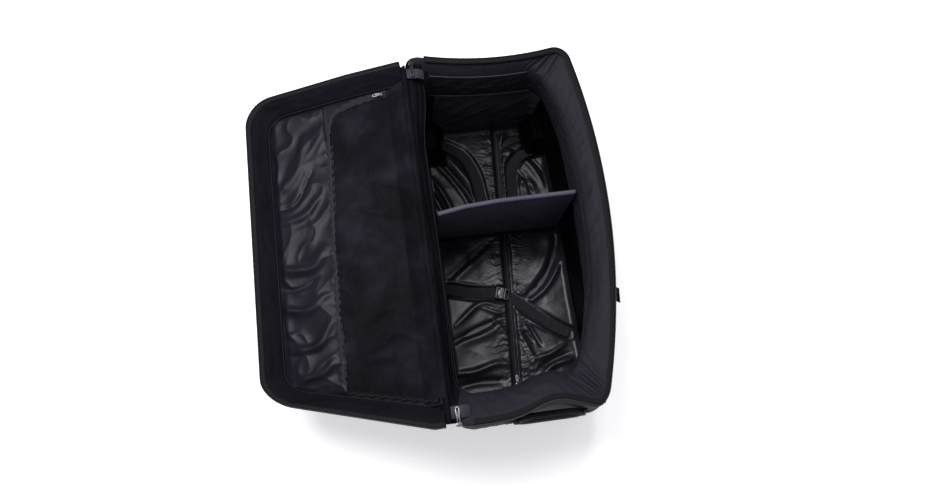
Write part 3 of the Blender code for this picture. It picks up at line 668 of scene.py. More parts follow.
POLYESTER = fabric("outer polyester", (0.01, 0.01, 0.0132), 0.68, thread=0.0013, weave=0.5)
BAND_CLOTH = fabric("padded band cloth", (0.0078, 0.0075, 0.0115), 0.58, thread=0.001, weave=0.3,
                    crumple=0.22, blotch=0.35, specular=0.11)
# A darker copy of the padded band cloth: painted shade on the hinge band, the lid's inner band and the hinge
# flap.
SHADED_BAND_CLOTH = fabric("band cloth painted shade", (0.0044, 0.0042, 0.0062), 0.62, thread=0.001, weave=0.3,
                     crumple=0.25, blotch=0.35, specular=0.02)
PIPING_CLOTH = fabric("piping cloth", (0.004, 0.004, 0.0054), 0.6, thread=0.0009, crumple=0.1)
# A lighter copy of the piping, laid over the binding and the seam only at the wheel end: painted highlight.
HIGHLIGHT_PIPING = fabric("piping cloth painted highlight", (0.03, 0.03, 0.039), 0.55, thread=0.0009, crumple=0.1)
PATCH_CLOTH = fabric("patch cloth", (0.026, 0.026, 0.034), 0.6, thread=0.0012, weave=0.5, crumple=0.3)
LINING_CLOTH = nylon("lining nylon", (0.0066, 0.0062, 0.0094), 0.37, crinkle=0.09, specular=0.3)
# A darker copy of the lining nylon for the far compartment's floor: painted shade.
SHADED_FAR_LINING = nylon("far lining nylon painted shade", (0.004, 0.0038, 0.0058), 0.36, crinkle=0.09, specular=0.14)
# A near-black copy of the lining nylon for the lower walls, their seam piping and the mounds over the wheel
# housings: painted shade.
SHADED_WALL_LINING = nylon("side lining nylon painted shade", (0.0008, 0.0008, 0.0012), 0.55, crinkle=0.08, specular=0.02)
# A much lighter copy of the lining nylon for the wheel end's lower wall: painted light.
LIT_END_LINING = nylon("end lining nylon painted light", (0.023, 0.0225, 0.03), 0.45, crinkle=0.12, specular=0.25)
# A lighter copy of the lining nylon for the upper walls: painted light.
LIT_UPPER_LINING = nylon("upper lining nylon painted light", (0.011, 0.0108, 0.014), 0.45, crinkle=0.16, specular=0.25)
LID_LINING_CLOTH = nylon("lid lining nylon", (0.0052, 0.0047, 0.0085), 0.38, crinkle=0.05, specular=0.11)
DIVIDER_CLOTH = fabric("divider cloth", (0.06, 0.058, 0.082), 0.6, thread=0.001, weave=0.25, crumple=0.18)
BINDING_CLOTH = fabric("divider binding", (0.058, 0.056, 0.084), 0.5, thread=0.001, crumple=0.2)
WEBBING_CLOTH = webbing_cloth("webbing", (0.007, 0.007, 0.0092), 0.6)
# A darker copy of the webbing for the far straps: painted shade.
SHADED_WEBBING = webbing_cloth("webbing painted shade", (0.0026, 0.0026, 0.0034), 0.6)
TAPE_CLOTH = fabric("zip tape", (0.0105, 0.0102, 0.0138), 0.65, thread=0.0012, weave=0.5)
DARK_TAPE = fabric("dark zip tape", (0.0036, 0.0036, 0.0046), 0.65, thread=0.0012, weave=0.5)
NET_CLOTH = net("pocket net", (0.0046, 0.0043, 0.0066))
THREAD = hard("sewing thread", (0.014, 0.014, 0.018), 0.6, grain=900.0, specular=0.15)
COIL = hard("zip coil", (0.01, 0.01, 0.013), 0.4, wear=0.15, specular=0.3)
ZIP_METAL = hard("zip metal", (0.22, 0.23, 0.25), 0.38, 0.85, grain=500.0, depth=0.08)
# A darker copy of the zip metal for the wheel end's slider and the pocket slider's body: painted shade.
SHADED_ZIP_METAL = hard("zip metal painted shade", (0.035, 0.036, 0.042), 0.42, 0.6, grain=500.0, depth=0.08, specular=0.3)
BUCKLE_PLASTIC = hard("buckle plastic", (0.01, 0.01, 0.012), 0.36, grain=300.0, specular=0.35)
# A lighter copy of the buckle plastic for the buckles' top edges and plates: painted highlight.
HIGHLIGHT_PLASTIC = hard("buckle plastic painted highlight", (0.08, 0.08, 0.094), 0.34, grain=300.0)
BLACK_PLASTIC = hard("black plastic", (0.01, 0.01, 0.0115), 0.48, specular=0.35)
BOARD = hard("base board", (0.045, 0.045, 0.05), 0.65)
RUBBER = hard("tyre rubber", (0.014, 0.014, 0.015), 0.78, grain=400.0, depth=0.3, specular=0.3)
HUB_PLASTIC = hard("hub plastic", (0.06, 0.062, 0.068), 0.42)
STEEL = hard("axle steel", (0.55, 0.56, 0.57), 0.3, 1.0, grain=600.0, depth=0.06)


def change_cloth(piece, material, wanted):
    """Gives another material to the faces whose centres are wanted."""
    piece.data.materials.append(material)
    slot = len(piece.data.materials) - 1
    for face in piece.data.polygons:
        if wanted(face.center):
            face.material_index = slot


# Shell and base ------------------------------------------------------------------------------
def wall_level(z):
    """The outer wall's outline between its three sewn levels."""
    low, high = (BASE, MIDDLE) if z < MIDDLE[HEIGHT] else (MIDDLE, RIM)
    share = (z - low[HEIGHT]) / (high[HEIGHT] - low[HEIGHT])
    return low + (high - low) * share


def make_shell():
    """Four walls and the base, one sewn shell with slack in its cloth."""
    heights = np.concatenate([[BASE[HEIGHT] - 0.0005], np.linspace(0.022, RIM_Z - 0.006, 56)])
    rows = []
    for z in heights:
        line = ring(wall_level(min(z, RIM_Z)))
        line[:, 2] = z
        rows.append(line)
    points = np.array(rows)
    outward = np.array([plan_normals(row) for row in rows])
    length = np.linalg.norm(np.diff(points[30], axis=0, append=points[30][:1]), axis=1)
    u = np.cumsum(length)[None, :] * np.ones((len(heights), 1))
    v = heights[:, None] * np.ones_like(u)
    free = ease((v - 0.02) / 0.05) * ease((RIM_Z - 0.004 - v) / 0.03)
    slack = (0.0030 * layers(u * 7, v * 9, 3) + 0.0022 * (creases(u * 9 + v * 5, v * 6 - u * 2, 9) - 0.4)
             + 0.0012 * layers(u * 40, v * 16, 5, 2))
    belly = 0.0030 * np.sin(np.pi * np.clip(v / RIM_Z, 0, 1))
    points = points + outward * (free * (slack + belly))[..., None]
    foot = points[0].copy()
    under = []
    for inset in (0.010, 0.05, 0.12, 0.19):
        shrunk = foot * [1 - inset / 0.2, 1 - inset / 0.45, 1]
        shrunk[:, 2] = BASE[HEIGHT] - 0.0012 + 0.0010 * layers(shrunk[:, 0] * 20, shrunk[:, 1] * 20, 8)
        shrunk[:, 2] = np.maximum(shrunk[:, 2], 0.0130)
        under.insert(0, shrunk)
    points = np.concatenate([under, points])

    def outside_housings(centre):
        corner = WHEEL_CORNER
        return ~((np.abs(centre[:, 0]) > corner["x"] - 0.0005) & (centre[:, 1] > corner["y"] - 0.001)
                 & (centre[:, 2] < corner["z"]))

    shell = grid("outer_shell", points, POLYESTER, closed=True, keep=outside_housings)
    fix_outward(shell)
    solidify(shell, 0.0026)
    place(shell, "bag_body", "outer_polyester", "front_wall", "back_wall", "wheel_end_wall",
          "handle_end_wall", "base_panel")
    return points[len(under):]


SHELL = make_shell()


def shell_line(row, first, last, out=0.0):
    """A run of points along one height of the shell, a little outside it."""
    line = SHELL[row]
    normal = plan_normals(line)
    index = np.arange(first, last) % RING_COUNT
    return line[index] + normal[index] * out, normal[index]


def shell_column(column, z0, z1, out=0.0):
    """A run of points up the shell at one place round it."""
    rows = [i for i in range(len(SHELL)) if z0 <= SHELL[i][0][2] <= z1]
    normal = [plan_normals(SHELL[i])[column % RING_COUNT] for i in rows]
    line = np.array([SHELL[i][column % RING_COUNT] for i in rows])
    return line + np.array(normal) * out, np.array(normal)


def make_shell_seams():
    """Piping up the corners, round the foot, and a flat seam with stitches below the rim."""
    corners = {"front_handle": 0, "front_wheel": WHEEL_START, "back_wheel": BACK_START,
               "back_handle": HANDLE_START}
    for name, column in corners.items():
        low = 0.092 if "wheel" in name else 0.020
        line, normal = shell_column(column, low, RIM_Z - 0.012, 0.0008)
        pipe("corner_piping_" + name, line, 0.0026, normal, "bag_body", "outer_polyester")
    runs = {"handle_end": (HANDLE_START - 4, RING_COUNT + 5), "front": (0, WHEEL_START - 30),
            "back": (BACK_START + 30, HANDLE_START)}
    for name, (first, last) in runs.items():
        line, normal = shell_line(1, first, last, 0.0008)
        pipe("foot_piping_" + name, line, 0.0026, normal, "bag_body", "outer_polyester")
    top = len(SHELL) - 6
    rows = []
    for name, first, last in (("front", 0, WHEEL_START), ("wheel_end", WHEEL_START, BACK_START),
                              ("handle_end", HANDLE_START, RING_COUNT), ("back", BACK_START, HANDLE_START)):
        line, normal = shell_line(top, first + 4, last - 4, 0.0006)
        rows.append(stitches("stitch_" + name, line, normal))
    place(joined("rim_seam_stitches", rows), "bag_body", "outer_polyester")


make_shell_seams()


# Rim -----------------------------------------------------------------------------------------
def rim_rows(v_values, bulge):
    """Rows across the rim's band from its outer edge (0) to its inner edge (1), padded upwards."""
    outer, inner = ring(RIM), ring(MOUTH)
    across = inner - outer
    rows = []
    for v in v_values:
        p = outer + across * v
        p[:, 2] += bulge * math.sin(math.pi * min(1, max(0, v))) ** 0.8
        rows.append(p)
    return np.array(rows)


# Creases across the band at a corner: (how far along from the corner, depth).
CORNER_CREASES = [(-0.018, 0.004), (0.004, 0.006), (0.024, 0.004), (0.046, 0.0028)]


def make_rim_band():
    """The padded band round three sides, with puckers across it and creases at its corners."""
    v_top = np.linspace(0.02, 1.0, 22)
    index = np.arange(HANDLE_START - 2 - RING_COUNT, BACK_START + 3) % RING_COUNT
    rows = rim_rows(v_top, 0.0085)[:, index]
    reach = lengths(rows[0])
    u = reach[None, :] * np.ones((len(v_top), 1))
    v = v_top[:, None] * np.ones_like(u)
    middle = np.sin(np.pi * v) ** 0.6
    puckers = creases(u * 22 + v * 1.3, v * 0.9, 4, 2) - 0.35
    long_waves = layers(u * 6, v * 1.5, 12)
    lift = middle * (0.0022 * puckers + 0.0035 * long_waves)
    lift += 0.0016 * (creases(u * 60, v * 1.2, 21, 2) - 0.3) * ease((v - 0.72) / 0.2)
    for corner in (RING_COUNT - HANDLE_START + 2, RING_COUNT - HANDLE_START + 2 + WHEEL_START):
        at = reach[corner]
        for k, (shift, deep) in enumerate(CORNER_CREASES):
            centre = at + shift + (v - 0.5) * 0.02 * (k - 1.5)
            lift -= deep * np.exp(-((u - centre) / 0.0042) ** 2) * middle
            lift += deep * 0.6 * np.exp(-((u - centre - 0.009) / 0.006) ** 2) * middle
    rows[:, :, 2] += lift
    under = rim_rows([0.98, 0.66, 0.33, 0.06], 0.0)[:, index]
    under[:, :, 2] -= 0.0045
    band = grid("rim_band", np.concatenate([rows, under, rows[:1]]), BAND_CLOTH, wanted=None)
    fix_outward(band)
    place(band, "bag_body", "padded_band", "front_rim_band", "wheel_end_rim_band", "handle_end_rim_band")
    edge = rows[-1] + [0, 0, -0.0006]
    # A lighter cord over the binding along the wheel end only: painted highlight.
    far = (rows[-1][:, 1] > 0.40) & (rows[-1][:, 0] < 0.10)
    pipe("mouth_binding", edge, 0.0018, UP, "bag_body", "binding")
    line = edge[far] + [0, 0, 0.0008]
    pipe("mouth_binding_highlight_wheel_end", line, 0.0018, UP, "bag_body", "binding", HIGHLIGHT_PIPING)
    place(stitches("band_stitches", rows[-3] + [0, 0, 0.0006], UP), "bag_body", "binding")


def hinge_bow(y):
    """How far the slack cloth at the hinge swells towards the lid."""
    return 0.011 * np.maximum(0, 1 - ((y + 0.03) / 0.44) ** 2)


def make_hinge_band():
    """The softer band along the back: one broad swell with shallow folds that run its length."""
    v_top = np.linspace(0.0, 1.0, 30)
    index = np.arange(BACK_START - 4, HANDLE_START + 5) % RING_COUNT
    rows = rim_rows(v_top, 0.0)[:, index]
    y = rows[..., 1]
    v = v_top[:, None] * np.ones_like(y)
    wander = 0.10 * layers(y * 3.5, y * 0 + 3.3, 6)
    inside = np.sin(np.pi * np.clip(v * 0.96 + 0.02, 0, 1)) ** 0.45
    lift = 0.0085 * np.exp(-((v - 0.46 - wander) / 0.34) ** 2) - 0.0024 * np.exp(-((v - 0.12) / 0.08) ** 2)
    lift += 0.0016 * np.exp(-((v - 0.80 - wander * 2) / 0.10) ** 2)
    lift -= 0.0018 * np.exp(-((v - 0.60 - wander * 2) / 0.09) ** 2)
    lift = lift * (1 + 0.45 * layers(y * 5, v * 1.5, 14))
    lift += 0.0030 * layers(y * 9, v * 2.5, 15) + 0.0026 * (creases(v * 1.6 + y * 5, y * 9, 33, 2) - 0.4)
    rows[..., 2] += lift * inside
    inwards = 0.018 * ease((y - 0.24) / 0.16) - 0.004 * ease((-0.05 - y) / 0.2)
    rows[..., 0] += inwards * v - hinge_bow(y) * (1 - v)
    under = rim_rows([1.0, 0.66, 0.33, 0.0], 0.0)[:, index]
    under[..., 2] -= 0.0045
    under[..., 0] -= hinge_bow(under[..., 1]) * np.array([0, 0.34, 0.67, 1.0])[:, None]
    # The hinge band takes the darker band cloth: painted shade.
    band = grid("hinge_band", np.concatenate([rows, under, rows[:1]]), SHADED_BAND_CLOTH)
    fix_outward(band)
    place(band, "bag_body", "padded_band", "back_rim_band")
    pipe("hinge_band_binding", rows[-1] + [0, 0, -0.0004], 0.0016, UP, "bag_body", "binding")


def make_rim_zip():
    """The body's half of the main zip: piping under it, its tape and its coil."""
    index = np.arange(HANDLE_START + 12 - RING_COUNT, BACK_START - 11) % RING_COUNT
    outer = ring(RIM)[index]
    inner_level = level(RIM_BACK_X + 0.014, RIM_FRONT_X - 0.014, RIM_HANDLE_Y + 0.014, RIM_WHEEL_Y - 0.014,
                        0.030, RIM_Z, 1.0)
    inner = ring(inner_level)[index]
    rows = np.array([outer + (inner - outer) * t + [0, 0, 0.0030] for t in (-0.1, 0.25, 0.6, 1.0)])
    tape = grid("rim_zip_tape_cloth", rows, DARK_TAPE, wanted=UP)
    solidify(tape, 0.0011, 0.0)
    place(tape, "bag_body", "zip_tape", "rim_zip_tape")
    coil = teeth("rim_zip_coil", outer + (inner - outer) * -0.12 + [0, 0, 0.0034], UP, 0.0015)
    place(coil, "bag_body", "zip_tape")
    row = stitches("rim_zip_stitches", outer + (inner - outer) * 0.75 + [0, 0, 0.0038], UP)
    place(row, "bag_body", "zip_tape")
    normal = plan_normals(ring(RIM))[index]
    line = outer + normal * 0.0008 - [0, 0, 0.0045]
    pipe("rim_piping", line, 0.0032, normal, "bag_body", "outer_polyester")


make_rim_band()
make_hinge_band()
make_rim_zip()


# Lining --------------------------------------------------------------------------------------
ZIP_NEAR = np.array([-0.012, -0.380])
ZIP_FAR = np.array([0.046, 0.424])
ZIP_ALONG = (ZIP_FAR - ZIP_NEAR) / np.linalg.norm(ZIP_FAR - ZIP_NEAR)
ZIP_SIDE = np.array([ZIP_ALONG[1], -ZIP_ALONG[0]])

NEAR_BACK_STRAP = [(-0.176, -0.062, 0.0330), (-0.150, -0.066, 0.0275), (-0.103, -0.078, STRAP_Z),
                   (-0.060, -0.084, STRAP_Z), (-0.016, -0.090, STRAP_Z)]
NEAR_FRONT_STRAP = [(0.002, -0.098, STRAP_Z), (0.036, -0.124, STRAP_Z), (0.072, -0.158, STRAP_Z),
                    (0.110, -0.192, STRAP_Z), (0.140, -0.214, 0.0280), (0.158, -0.226, 0.0330)]
FAR_BACK_STRAP = [(-0.148, 0.388, 0.0300), (-0.128, 0.386, 0.0265), (-0.100, 0.376, STRAP_Z),
                  (-0.060, 0.340, STRAP_Z), (-0.036, 0.280, STRAP_Z), (-0.030, 0.220, STRAP_Z),
                  (-0.022, 0.170, STRAP_Z), (0.006, 0.152, STRAP_Z)]
FAR_FRONT_STRAP = [(0.146, 0.340, 0.0330), (0.128, 0.338, 0.0275), (0.098, 0.322, STRAP_Z),
                   (0.076, 0.286, STRAP_Z), (0.070, 0.236, STRAP_Z), (0.062, 0.184, STRAP_Z),
                   (0.032, 0.154, STRAP_Z)]
STRAPS = {"near_strap_back": NEAR_BACK_STRAP, "near_strap_front": NEAR_FRONT_STRAP,
          "far_strap_back": FAR_BACK_STRAP, "far_strap_front": FAR_FRONT_STRAP}
STRAP_WIDTH = 0.028

# Folds in the slack floor lining, in millimetres: (width, height, points), hollows negative.
NEAR_FOLDS = [
    (11, -10, (-24, 70), (-80, 30), (-153, -23)), (11, 10, (-10, 60), (-66, 18), (-140, -36)),
    (7, 9, (-158, -38), (-100, -58), (-32, -72)),
    (12, -12, (190, 70), (163, 30), (129, -37), (91, -81), (41, -117)),
    (8, 12, (176, -5), (146, -52), (108, -94), (66, -120)),
    (14, 9, (150, 60), (140, 20), (110, -30), (78, -66)), (8, 11, (-155, -166), (-79, -113), (-29, -126)),
    (6, 8, (-80, -122), (-21, -150)), (10, -12, (-13, -154), (-71, -176), (-116, -192), (-175, -214)),
    (11, 10, (-150, -215), (-90, -205), (-50, -190), (-22, -170)),
    (7, 7, (-52, -161), (-30, -190), (-20, -214)),
    (9, 14, (-175, -300), (-121, -300), (-60, -286), (-22, -292)),
    (12, -10, (-165, -335), (-100, -330), (-40, -335)), (6, 9, (17, -205), (46, -279)),
    (5, -8, (31, -197), (54, -240)), (6, -9, (48, -185), (74, -250)),
    (6, 10, (54, -180), (90, -205), (130, -227)), (7, 10, (50, -285), (95, -276), (140, -255)),
    (8, 13, (30, -355), (62, -335), (101, -308), (150, -300)),
    (7, -8, (60, -310), (110, -292), (150, -280)), (20, 6, (-120, 55), (-90, 0), (-60, -30)),
]
FAR_FOLDS = [
    (9, 12, (-118, 352), (-85, 300), (-50, 240), (-30, 180)),
    (8, 12, (-150, 330), (-110, 270), (-75, 200), (-60, 130)),
    (6, -10, (-135, 335), (-98, 280), (-62, 215), (-45, 150)),
    (8, 11, (-165, 280), (-135, 215), (-110, 130)), (6, -9, (-172, 240), (-150, 180), (-135, 120)),
    (10, -8, (-64, 372), (-40, 310), (-18, 240)), (11, -13, (48, 330), (56, 365), (90, 385), (150, 385)),
    (10, 15, (75, 345), (118, 315), (150, 260), (166, 205)), (8, -9, (98, 345), (140, 320), (170, 270)),
    (13, 12, (60, 230), (100, 245), (140, 220)), (6, -9, (90, 290), (112, 250), (124, 200)),
    (10, 10, (66, 160), (110, 170), (160, 150)),
]


def floor_height(x, y):
    """How far the slack lining stands above the base board."""
    lift = 0.0022 + 0.0060 * (layers(x * 8, y * 7, 41, 2) + 0.45)
    warp_x, warp_y = x + 0.03 * noise(x * 9, y * 9, 71), y + 0.03 * noise(x * 9, y * 9, 72)
    lift += 0.0050 * (0.5 + noise(warp_x * 15 + warp_y * 5, warp_y * 12 - warp_x * 4, 43))
    lift += 0.0022 * creases(warp_x * 9, warp_y * 8, 47, 2)
    lift += folds(x, y, NEAR_FOLDS + FAR_FOLDS)
    across = (x - ZIP_NEAR[0]) * ZIP_SIDE[0] + (y - ZIP_NEAR[1]) * ZIP_SIDE[1]
    along = (x - ZIP_NEAR[0]) * ZIP_ALONG[0] + (y - ZIP_NEAR[1]) * ZIP_ALONG[1]
    beside = np.abs(across)
    hand = np.sign(across)
    reach = 0.030 + 0.022 * (noise(along * 16, hand * 3.1, 51) + 0.5)
    waves = creases(along * 62 + 0.9 * noise(across * 60, along * 20, 52), hand * 5.3 + across * 9, 53, 2)
    gather = np.exp(-(beside / reach) ** 1.6) * ease((beside - 0.008) / 0.006)
    lift += 0.0085 * waves * gather
    pressed = pressed_line(x, y, [ZIP_NEAR, ZIP_FAR], 0.0062)
    for points in STRAPS.values():
        pressed = np.maximum(pressed, pressed_line(x, y, points, STRAP_WIDTH / 2 + 0.001))
    pressed = np.maximum(pressed, pressed_line(x, y, [(-0.2, DIVIDER_FOOT_Y), (0.2, DIVIDER_FOOT_Y)], 0.007))
    lift = np.maximum(lift, 0.0)
    lift = lift / (1 + lift / 0.045)
    return FLOOR_Z + 0.0004 + lift * (1 - pressed) + 0.0006 * pressed * (layers(x * 60, y * 60, 61) + 0.3)


def make_lining_floor():
    x, y = np.meshgrid(np.linspace(-0.188, 0.188, 176), np.linspace(-0.438, 0.438, 400))
    z = floor_height(x, y)
    edge = np.maximum((np.abs(x) - 0.160) / 0.028, (np.abs(y) - 0.408) / 0.030)
    edge = np.maximum(edge, np.maximum((np.abs(x) - 0.128) / 0.028, -1) * ease((y - 0.335) / 0.03))
    z = z + 0.020 * ease(edge) ** 2
    mound = ease((np.abs(x) - 0.118) / 0.032) * ease((y - 0.322) / 0.036)
    z = z + (0.094 - z) * mound
    floor = grid("lining_floor", np.stack([x, y, z], -1), LINING_CLOTH, wanted=UP)
    # The floor beyond the divider takes the darker lining copy: painted shade.
    change_cloth(floor, SHADED_FAR_LINING, lambda at: at.y > 0.112)
    # The mounds over the wheel housings take the near-black lining copy: painted shade.
    change_cloth(floor, SHADED_WALL_LINING, lambda at: at.y > 0.318 and abs(at.x) > 0.116)
    solidify(floor, 0.0006)
    place(floor, "bag_body", "lining_nylon", "lining")


def make_lining_walls():
    """The lining's upper wall, a piped seam, and the slack wall below it that runs into the floor."""
    top, floor = ring(LINING_TOP), ring(LINING_FLOOR)
    inward = -plan_normals(ring(RIM))
    reach = lengths(ring(RIM))

    def rows(heights, slack):
        out = []
        for z in heights:
            p = top + (floor - top) * (LINING_TOP[HEIGHT] - z) / (LINING_TOP[HEIGHT] - LINING_FLOOR[HEIGHT])
            p[:, 2] = z
            out.append(p + inward * slack(reach, z)[:, None])
        return np.array(out)

    def upper(u, z):
        v = (z - SEAM_Z) / (LINING_TOP[HEIGHT] - SEAM_Z)
        wave = 0.0050 * creases(u * 13 + z * 16, z * 14 + u, 81, 3) + 0.0022 * creases(u * 40, z * 40, 82, 2)
        return 0.0012 + wave * math.sin(math.pi * min(1, max(0, v))) ** 0.5

    def lower(u, z):
        v = (z - 0.024) / (SEAM_Z - 0.024)
        wave = 0.0030 * (layers(u * 8, z * 9, 83) + 0.4) + 0.0040 * creases(u * 7 + z * 9, z * 6, 84, 3)
        return 0.0008 + wave * math.sin(math.pi * min(1, max(0, v))) ** 0.6

    points = rows(np.linspace(LINING_TOP[HEIGHT] + 0.006, SEAM_Z, 30), upper)
    # The upper wall takes the lighter lining copy: painted light.
    part = grid("lining_upper_wall", points, LIT_UPPER_LINING, closed=True)
    solidify(part, 0.0006, 0.0)
    place(part, "bag_body", "lining_nylon")
    points = rows(np.linspace(SEAM_Z, 0.026, 60), lower)
    # The lower wall takes the near-black lining copy: painted shade.
    part = grid("lining_lower_wall", points, SHADED_WALL_LINING, closed=True)
    # The wheel end's lower wall takes the lighter lining copy: painted light.
    change_cloth(part, LIT_END_LINING, lambda at: at.y > 0.40 and abs(at.x) < 0.15)
    solidify(part, 0.0006, 0.0)
    place(part, "bag_body", "lining_nylon")
    seam = rows([SEAM_Z], upper)[0] + inward * 0.0012
    # The seam's piping takes the near-black lining copy: painted shade.
    pipe("lining_piping", seam, 0.0018, UP, "bag_body", "binding", SHADED_WALL_LINING, closed=True)
    # A lighter cord over the seam piping along the wheel end only: painted highlight.
    far = seam[WHEEL_START + 6:BACK_START - 6] - [0, 0.0008, 0]
    pipe("lining_piping_highlight_wheel_end", far, 0.0020, UP, "bag_body", "binding", HIGHLIGHT_PIPING)


def make_lining_zip():
    """The strip sewn down the middle of the floor, with its coil."""
    count = 140
    t = np.linspace(0, 1, count)
    centre = ZIP_NEAR[None] + (ZIP_FAR - ZIP_NEAR)[None] * t[:, None]
    rows = []
    for k, side in enumerate(np.linspace(-1, 1, 7)):
        ripple = 0.0009 * noise(t * 60, k * 0.4, 91) * abs(side)
        width = 0.0068 + 0.0010 * noise(t * 50, side * 2.0, 92)
        x = centre[:, 0] + ZIP_SIDE[0] * side * width
        y = centre[:, 1] + ZIP_SIDE[1] * side * width
        rows.append(np.column_stack([x, y, FLOOR_Z + 0.0030 + ripple]))
    tape = grid("lining_zip_strip", np.array(rows), DARK_TAPE, wanted=UP)
    solidify(tape, 0.0010)
    place(tape, "bag_body", "zip_tape", "lining_zip_tape")
    line = np.column_stack([centre, np.full(count, FLOOR_Z + 0.0036)])
    coil = teeth("lining_zip_coil", line, UP, 0.0012)
    place(coil, "bag_body", "zip_tape")


make_lining_floor()
make_lining_walls()
make_lining_zip()


# Divider, straps and buckles -----------------------------------------------------------------
def divider_y(x, v):
    """The divider's middle line at a share v of its height."""
    top = np.interp(x, [p[0] for p in DIVIDER_TOP_LINE], [p[1] for p in DIVIDER_TOP_LINE])
    return DIVIDER_FOOT_Y + (top - DIVIDER_FOOT_Y) * v


def make_divider():
    """A foam panel in cloth, thickest in its middle, with a bound top edge."""
    foot, top = FLOOR_Z + 0.0024, DIVIDER_TOP
    faces = []
    for side in (-1, 1):
        u, v = np.meshgrid(np.linspace(-1, 1, 110), np.linspace(0, 1, 46))
        x = u * (0.179 + 0.002 * v) - 0.001 - 0.010 * v
        z = foot + (top - foot) * v
        fill = (1 - np.abs(u) ** 6) * (1 - np.abs(2 * v - 1) ** 6)
        thick = 0.0038 + 0.0030 * fill
        soft = 0.0022 * layers(x * 7, z * 9, 101 + side)
        soft += 0.0014 * (creases(x * 9 + z * 6, z * 7, 105, 2) - 0.4)
        y = divider_y(x, v) + side * thick + soft * fill
        faces.append(np.stack([x, y, z], -1))
    loop = np.concatenate([faces[0], faces[1][::-1]])
    pad = grid("divider_pad", np.concatenate([loop, loop[:1]]), DIVIDER_CLOTH)
    fix_outward(pad)
    place(pad, "bag_body", "padded_band", "divider")
    x = np.linspace(-0.1925, 0.1705, 60)
    line = np.column_stack([x, divider_y(x, 1.0), top + 0.0006 + 0.0008 * noise(x * 20, 0, 111)])
    shape = [(0.0056, -0.0085), (0.0062, -0.002), (0.0052, 0.0022), (0.0028, 0.0040), (0, 0.0046)]
    shape += [(-a, b) for a, b in reversed(shape[:-1])]
    binding = sweep("divider_binding_tape", line, shape, BINDING_CLOTH, UP)
    place(binding, "bag_body", "binding", "divider_binding")
    for side in (-1, 1):
        edge = line + [0, side * 0.0062, -0.0064]
        row = stitches("divider_stitches_" + ("far" if side > 0 else "near"), edge, (0, side, 0))
        place(row, "bag_body", "binding")


def block(low, high, material, bevel):
    """A box with rounded edges."""
    x0, y0, z0 = low
    x1, y1, z1 = high
    verts = [(x, y, z) for z in (z0, z1) for x, y in ((x0, y0), (x1, y0), (x1, y1), (x0, y1))]
    faces = [(3, 2, 1, 0), (4, 5, 6, 7), (0, 1, 5, 4), (1, 2, 6, 5), (2, 3, 7, 6), (3, 0, 4, 7)]
    piece = new_mesh("part", verts, faces, material, np.array(verts)[:, :2])
    edge = piece.modifiers.new("bevel", "BEVEL")
    edge.width = bevel
    edge.segments = 3
    apply_modifiers(piece)
    piece.data.shade_smooth()
    return piece


def slab(outline, z0, z1, material, bevel):
    """An outline in the XY plane given a thickness and rounded edges."""
    count = len(outline)
    verts = [(x, y, z0) for x, y in outline] + [(x, y, z1) for x, y in outline]
    faces = [tuple(range(count))[::-1], tuple(range(count, 2 * count))]
    faces += [(i, (i + 1) % count, count + (i + 1) % count, count + i) for i in range(count)]
    piece = new_mesh("part", verts, faces, material, np.array(verts)[:, :2])
    edge = piece.modifiers.new("bevel", "BEVEL")
    edge.width = bevel
    edge.segments = 2
    edge.limit_method = "ANGLE"
    apply_modifiers(piece)
    fix_outward(piece)
    piece.data.shade_smooth()
    return piece


def cut_away(piece, *cutters):
    for cutter in cutters:
        step = piece.modifiers.new("cut", "BOOLEAN")
        step.operation = "DIFFERENCE"
        step.solver = "EXACT"
        step.object = cutter
    apply_modifiers(piece)
    for cutter in cutters:
        bpy.data.objects.remove(cutter)
    piece.data.set_sharp_from_angle(angle=math.radians(35))
    return piece


def make_straps():
    for name, points in STRAPS.items():
        line = even_line(smooth_line(points, 8), 0.003)
        line[:, 2] += 0.0005 * noise(np.arange(len(line)) * 0.11, 0.5, 121)
        # The far straps take the darker webbing copy: painted shade.
        cloth = SHADED_WEBBING if name.startswith("far") else WEBBING_CLOTH
        ribbon = sweep(name + "_webbing", line, webbing_profile(STRAP_WIDTH, 0.0020), cloth)
        place(ribbon, "bag_body", "webbing", name)
        start = line[:9] + [0, 0, 0.0016]
        _, _, side = frames(start, UP)
        rows = [stitches("row", start + side * offset, UP, 0.003, 0.0022)
                for offset in (-0.010, 0.0, 0.010)]
        place(joined(name + "_stitches", rows), "bag_body", "webbing")


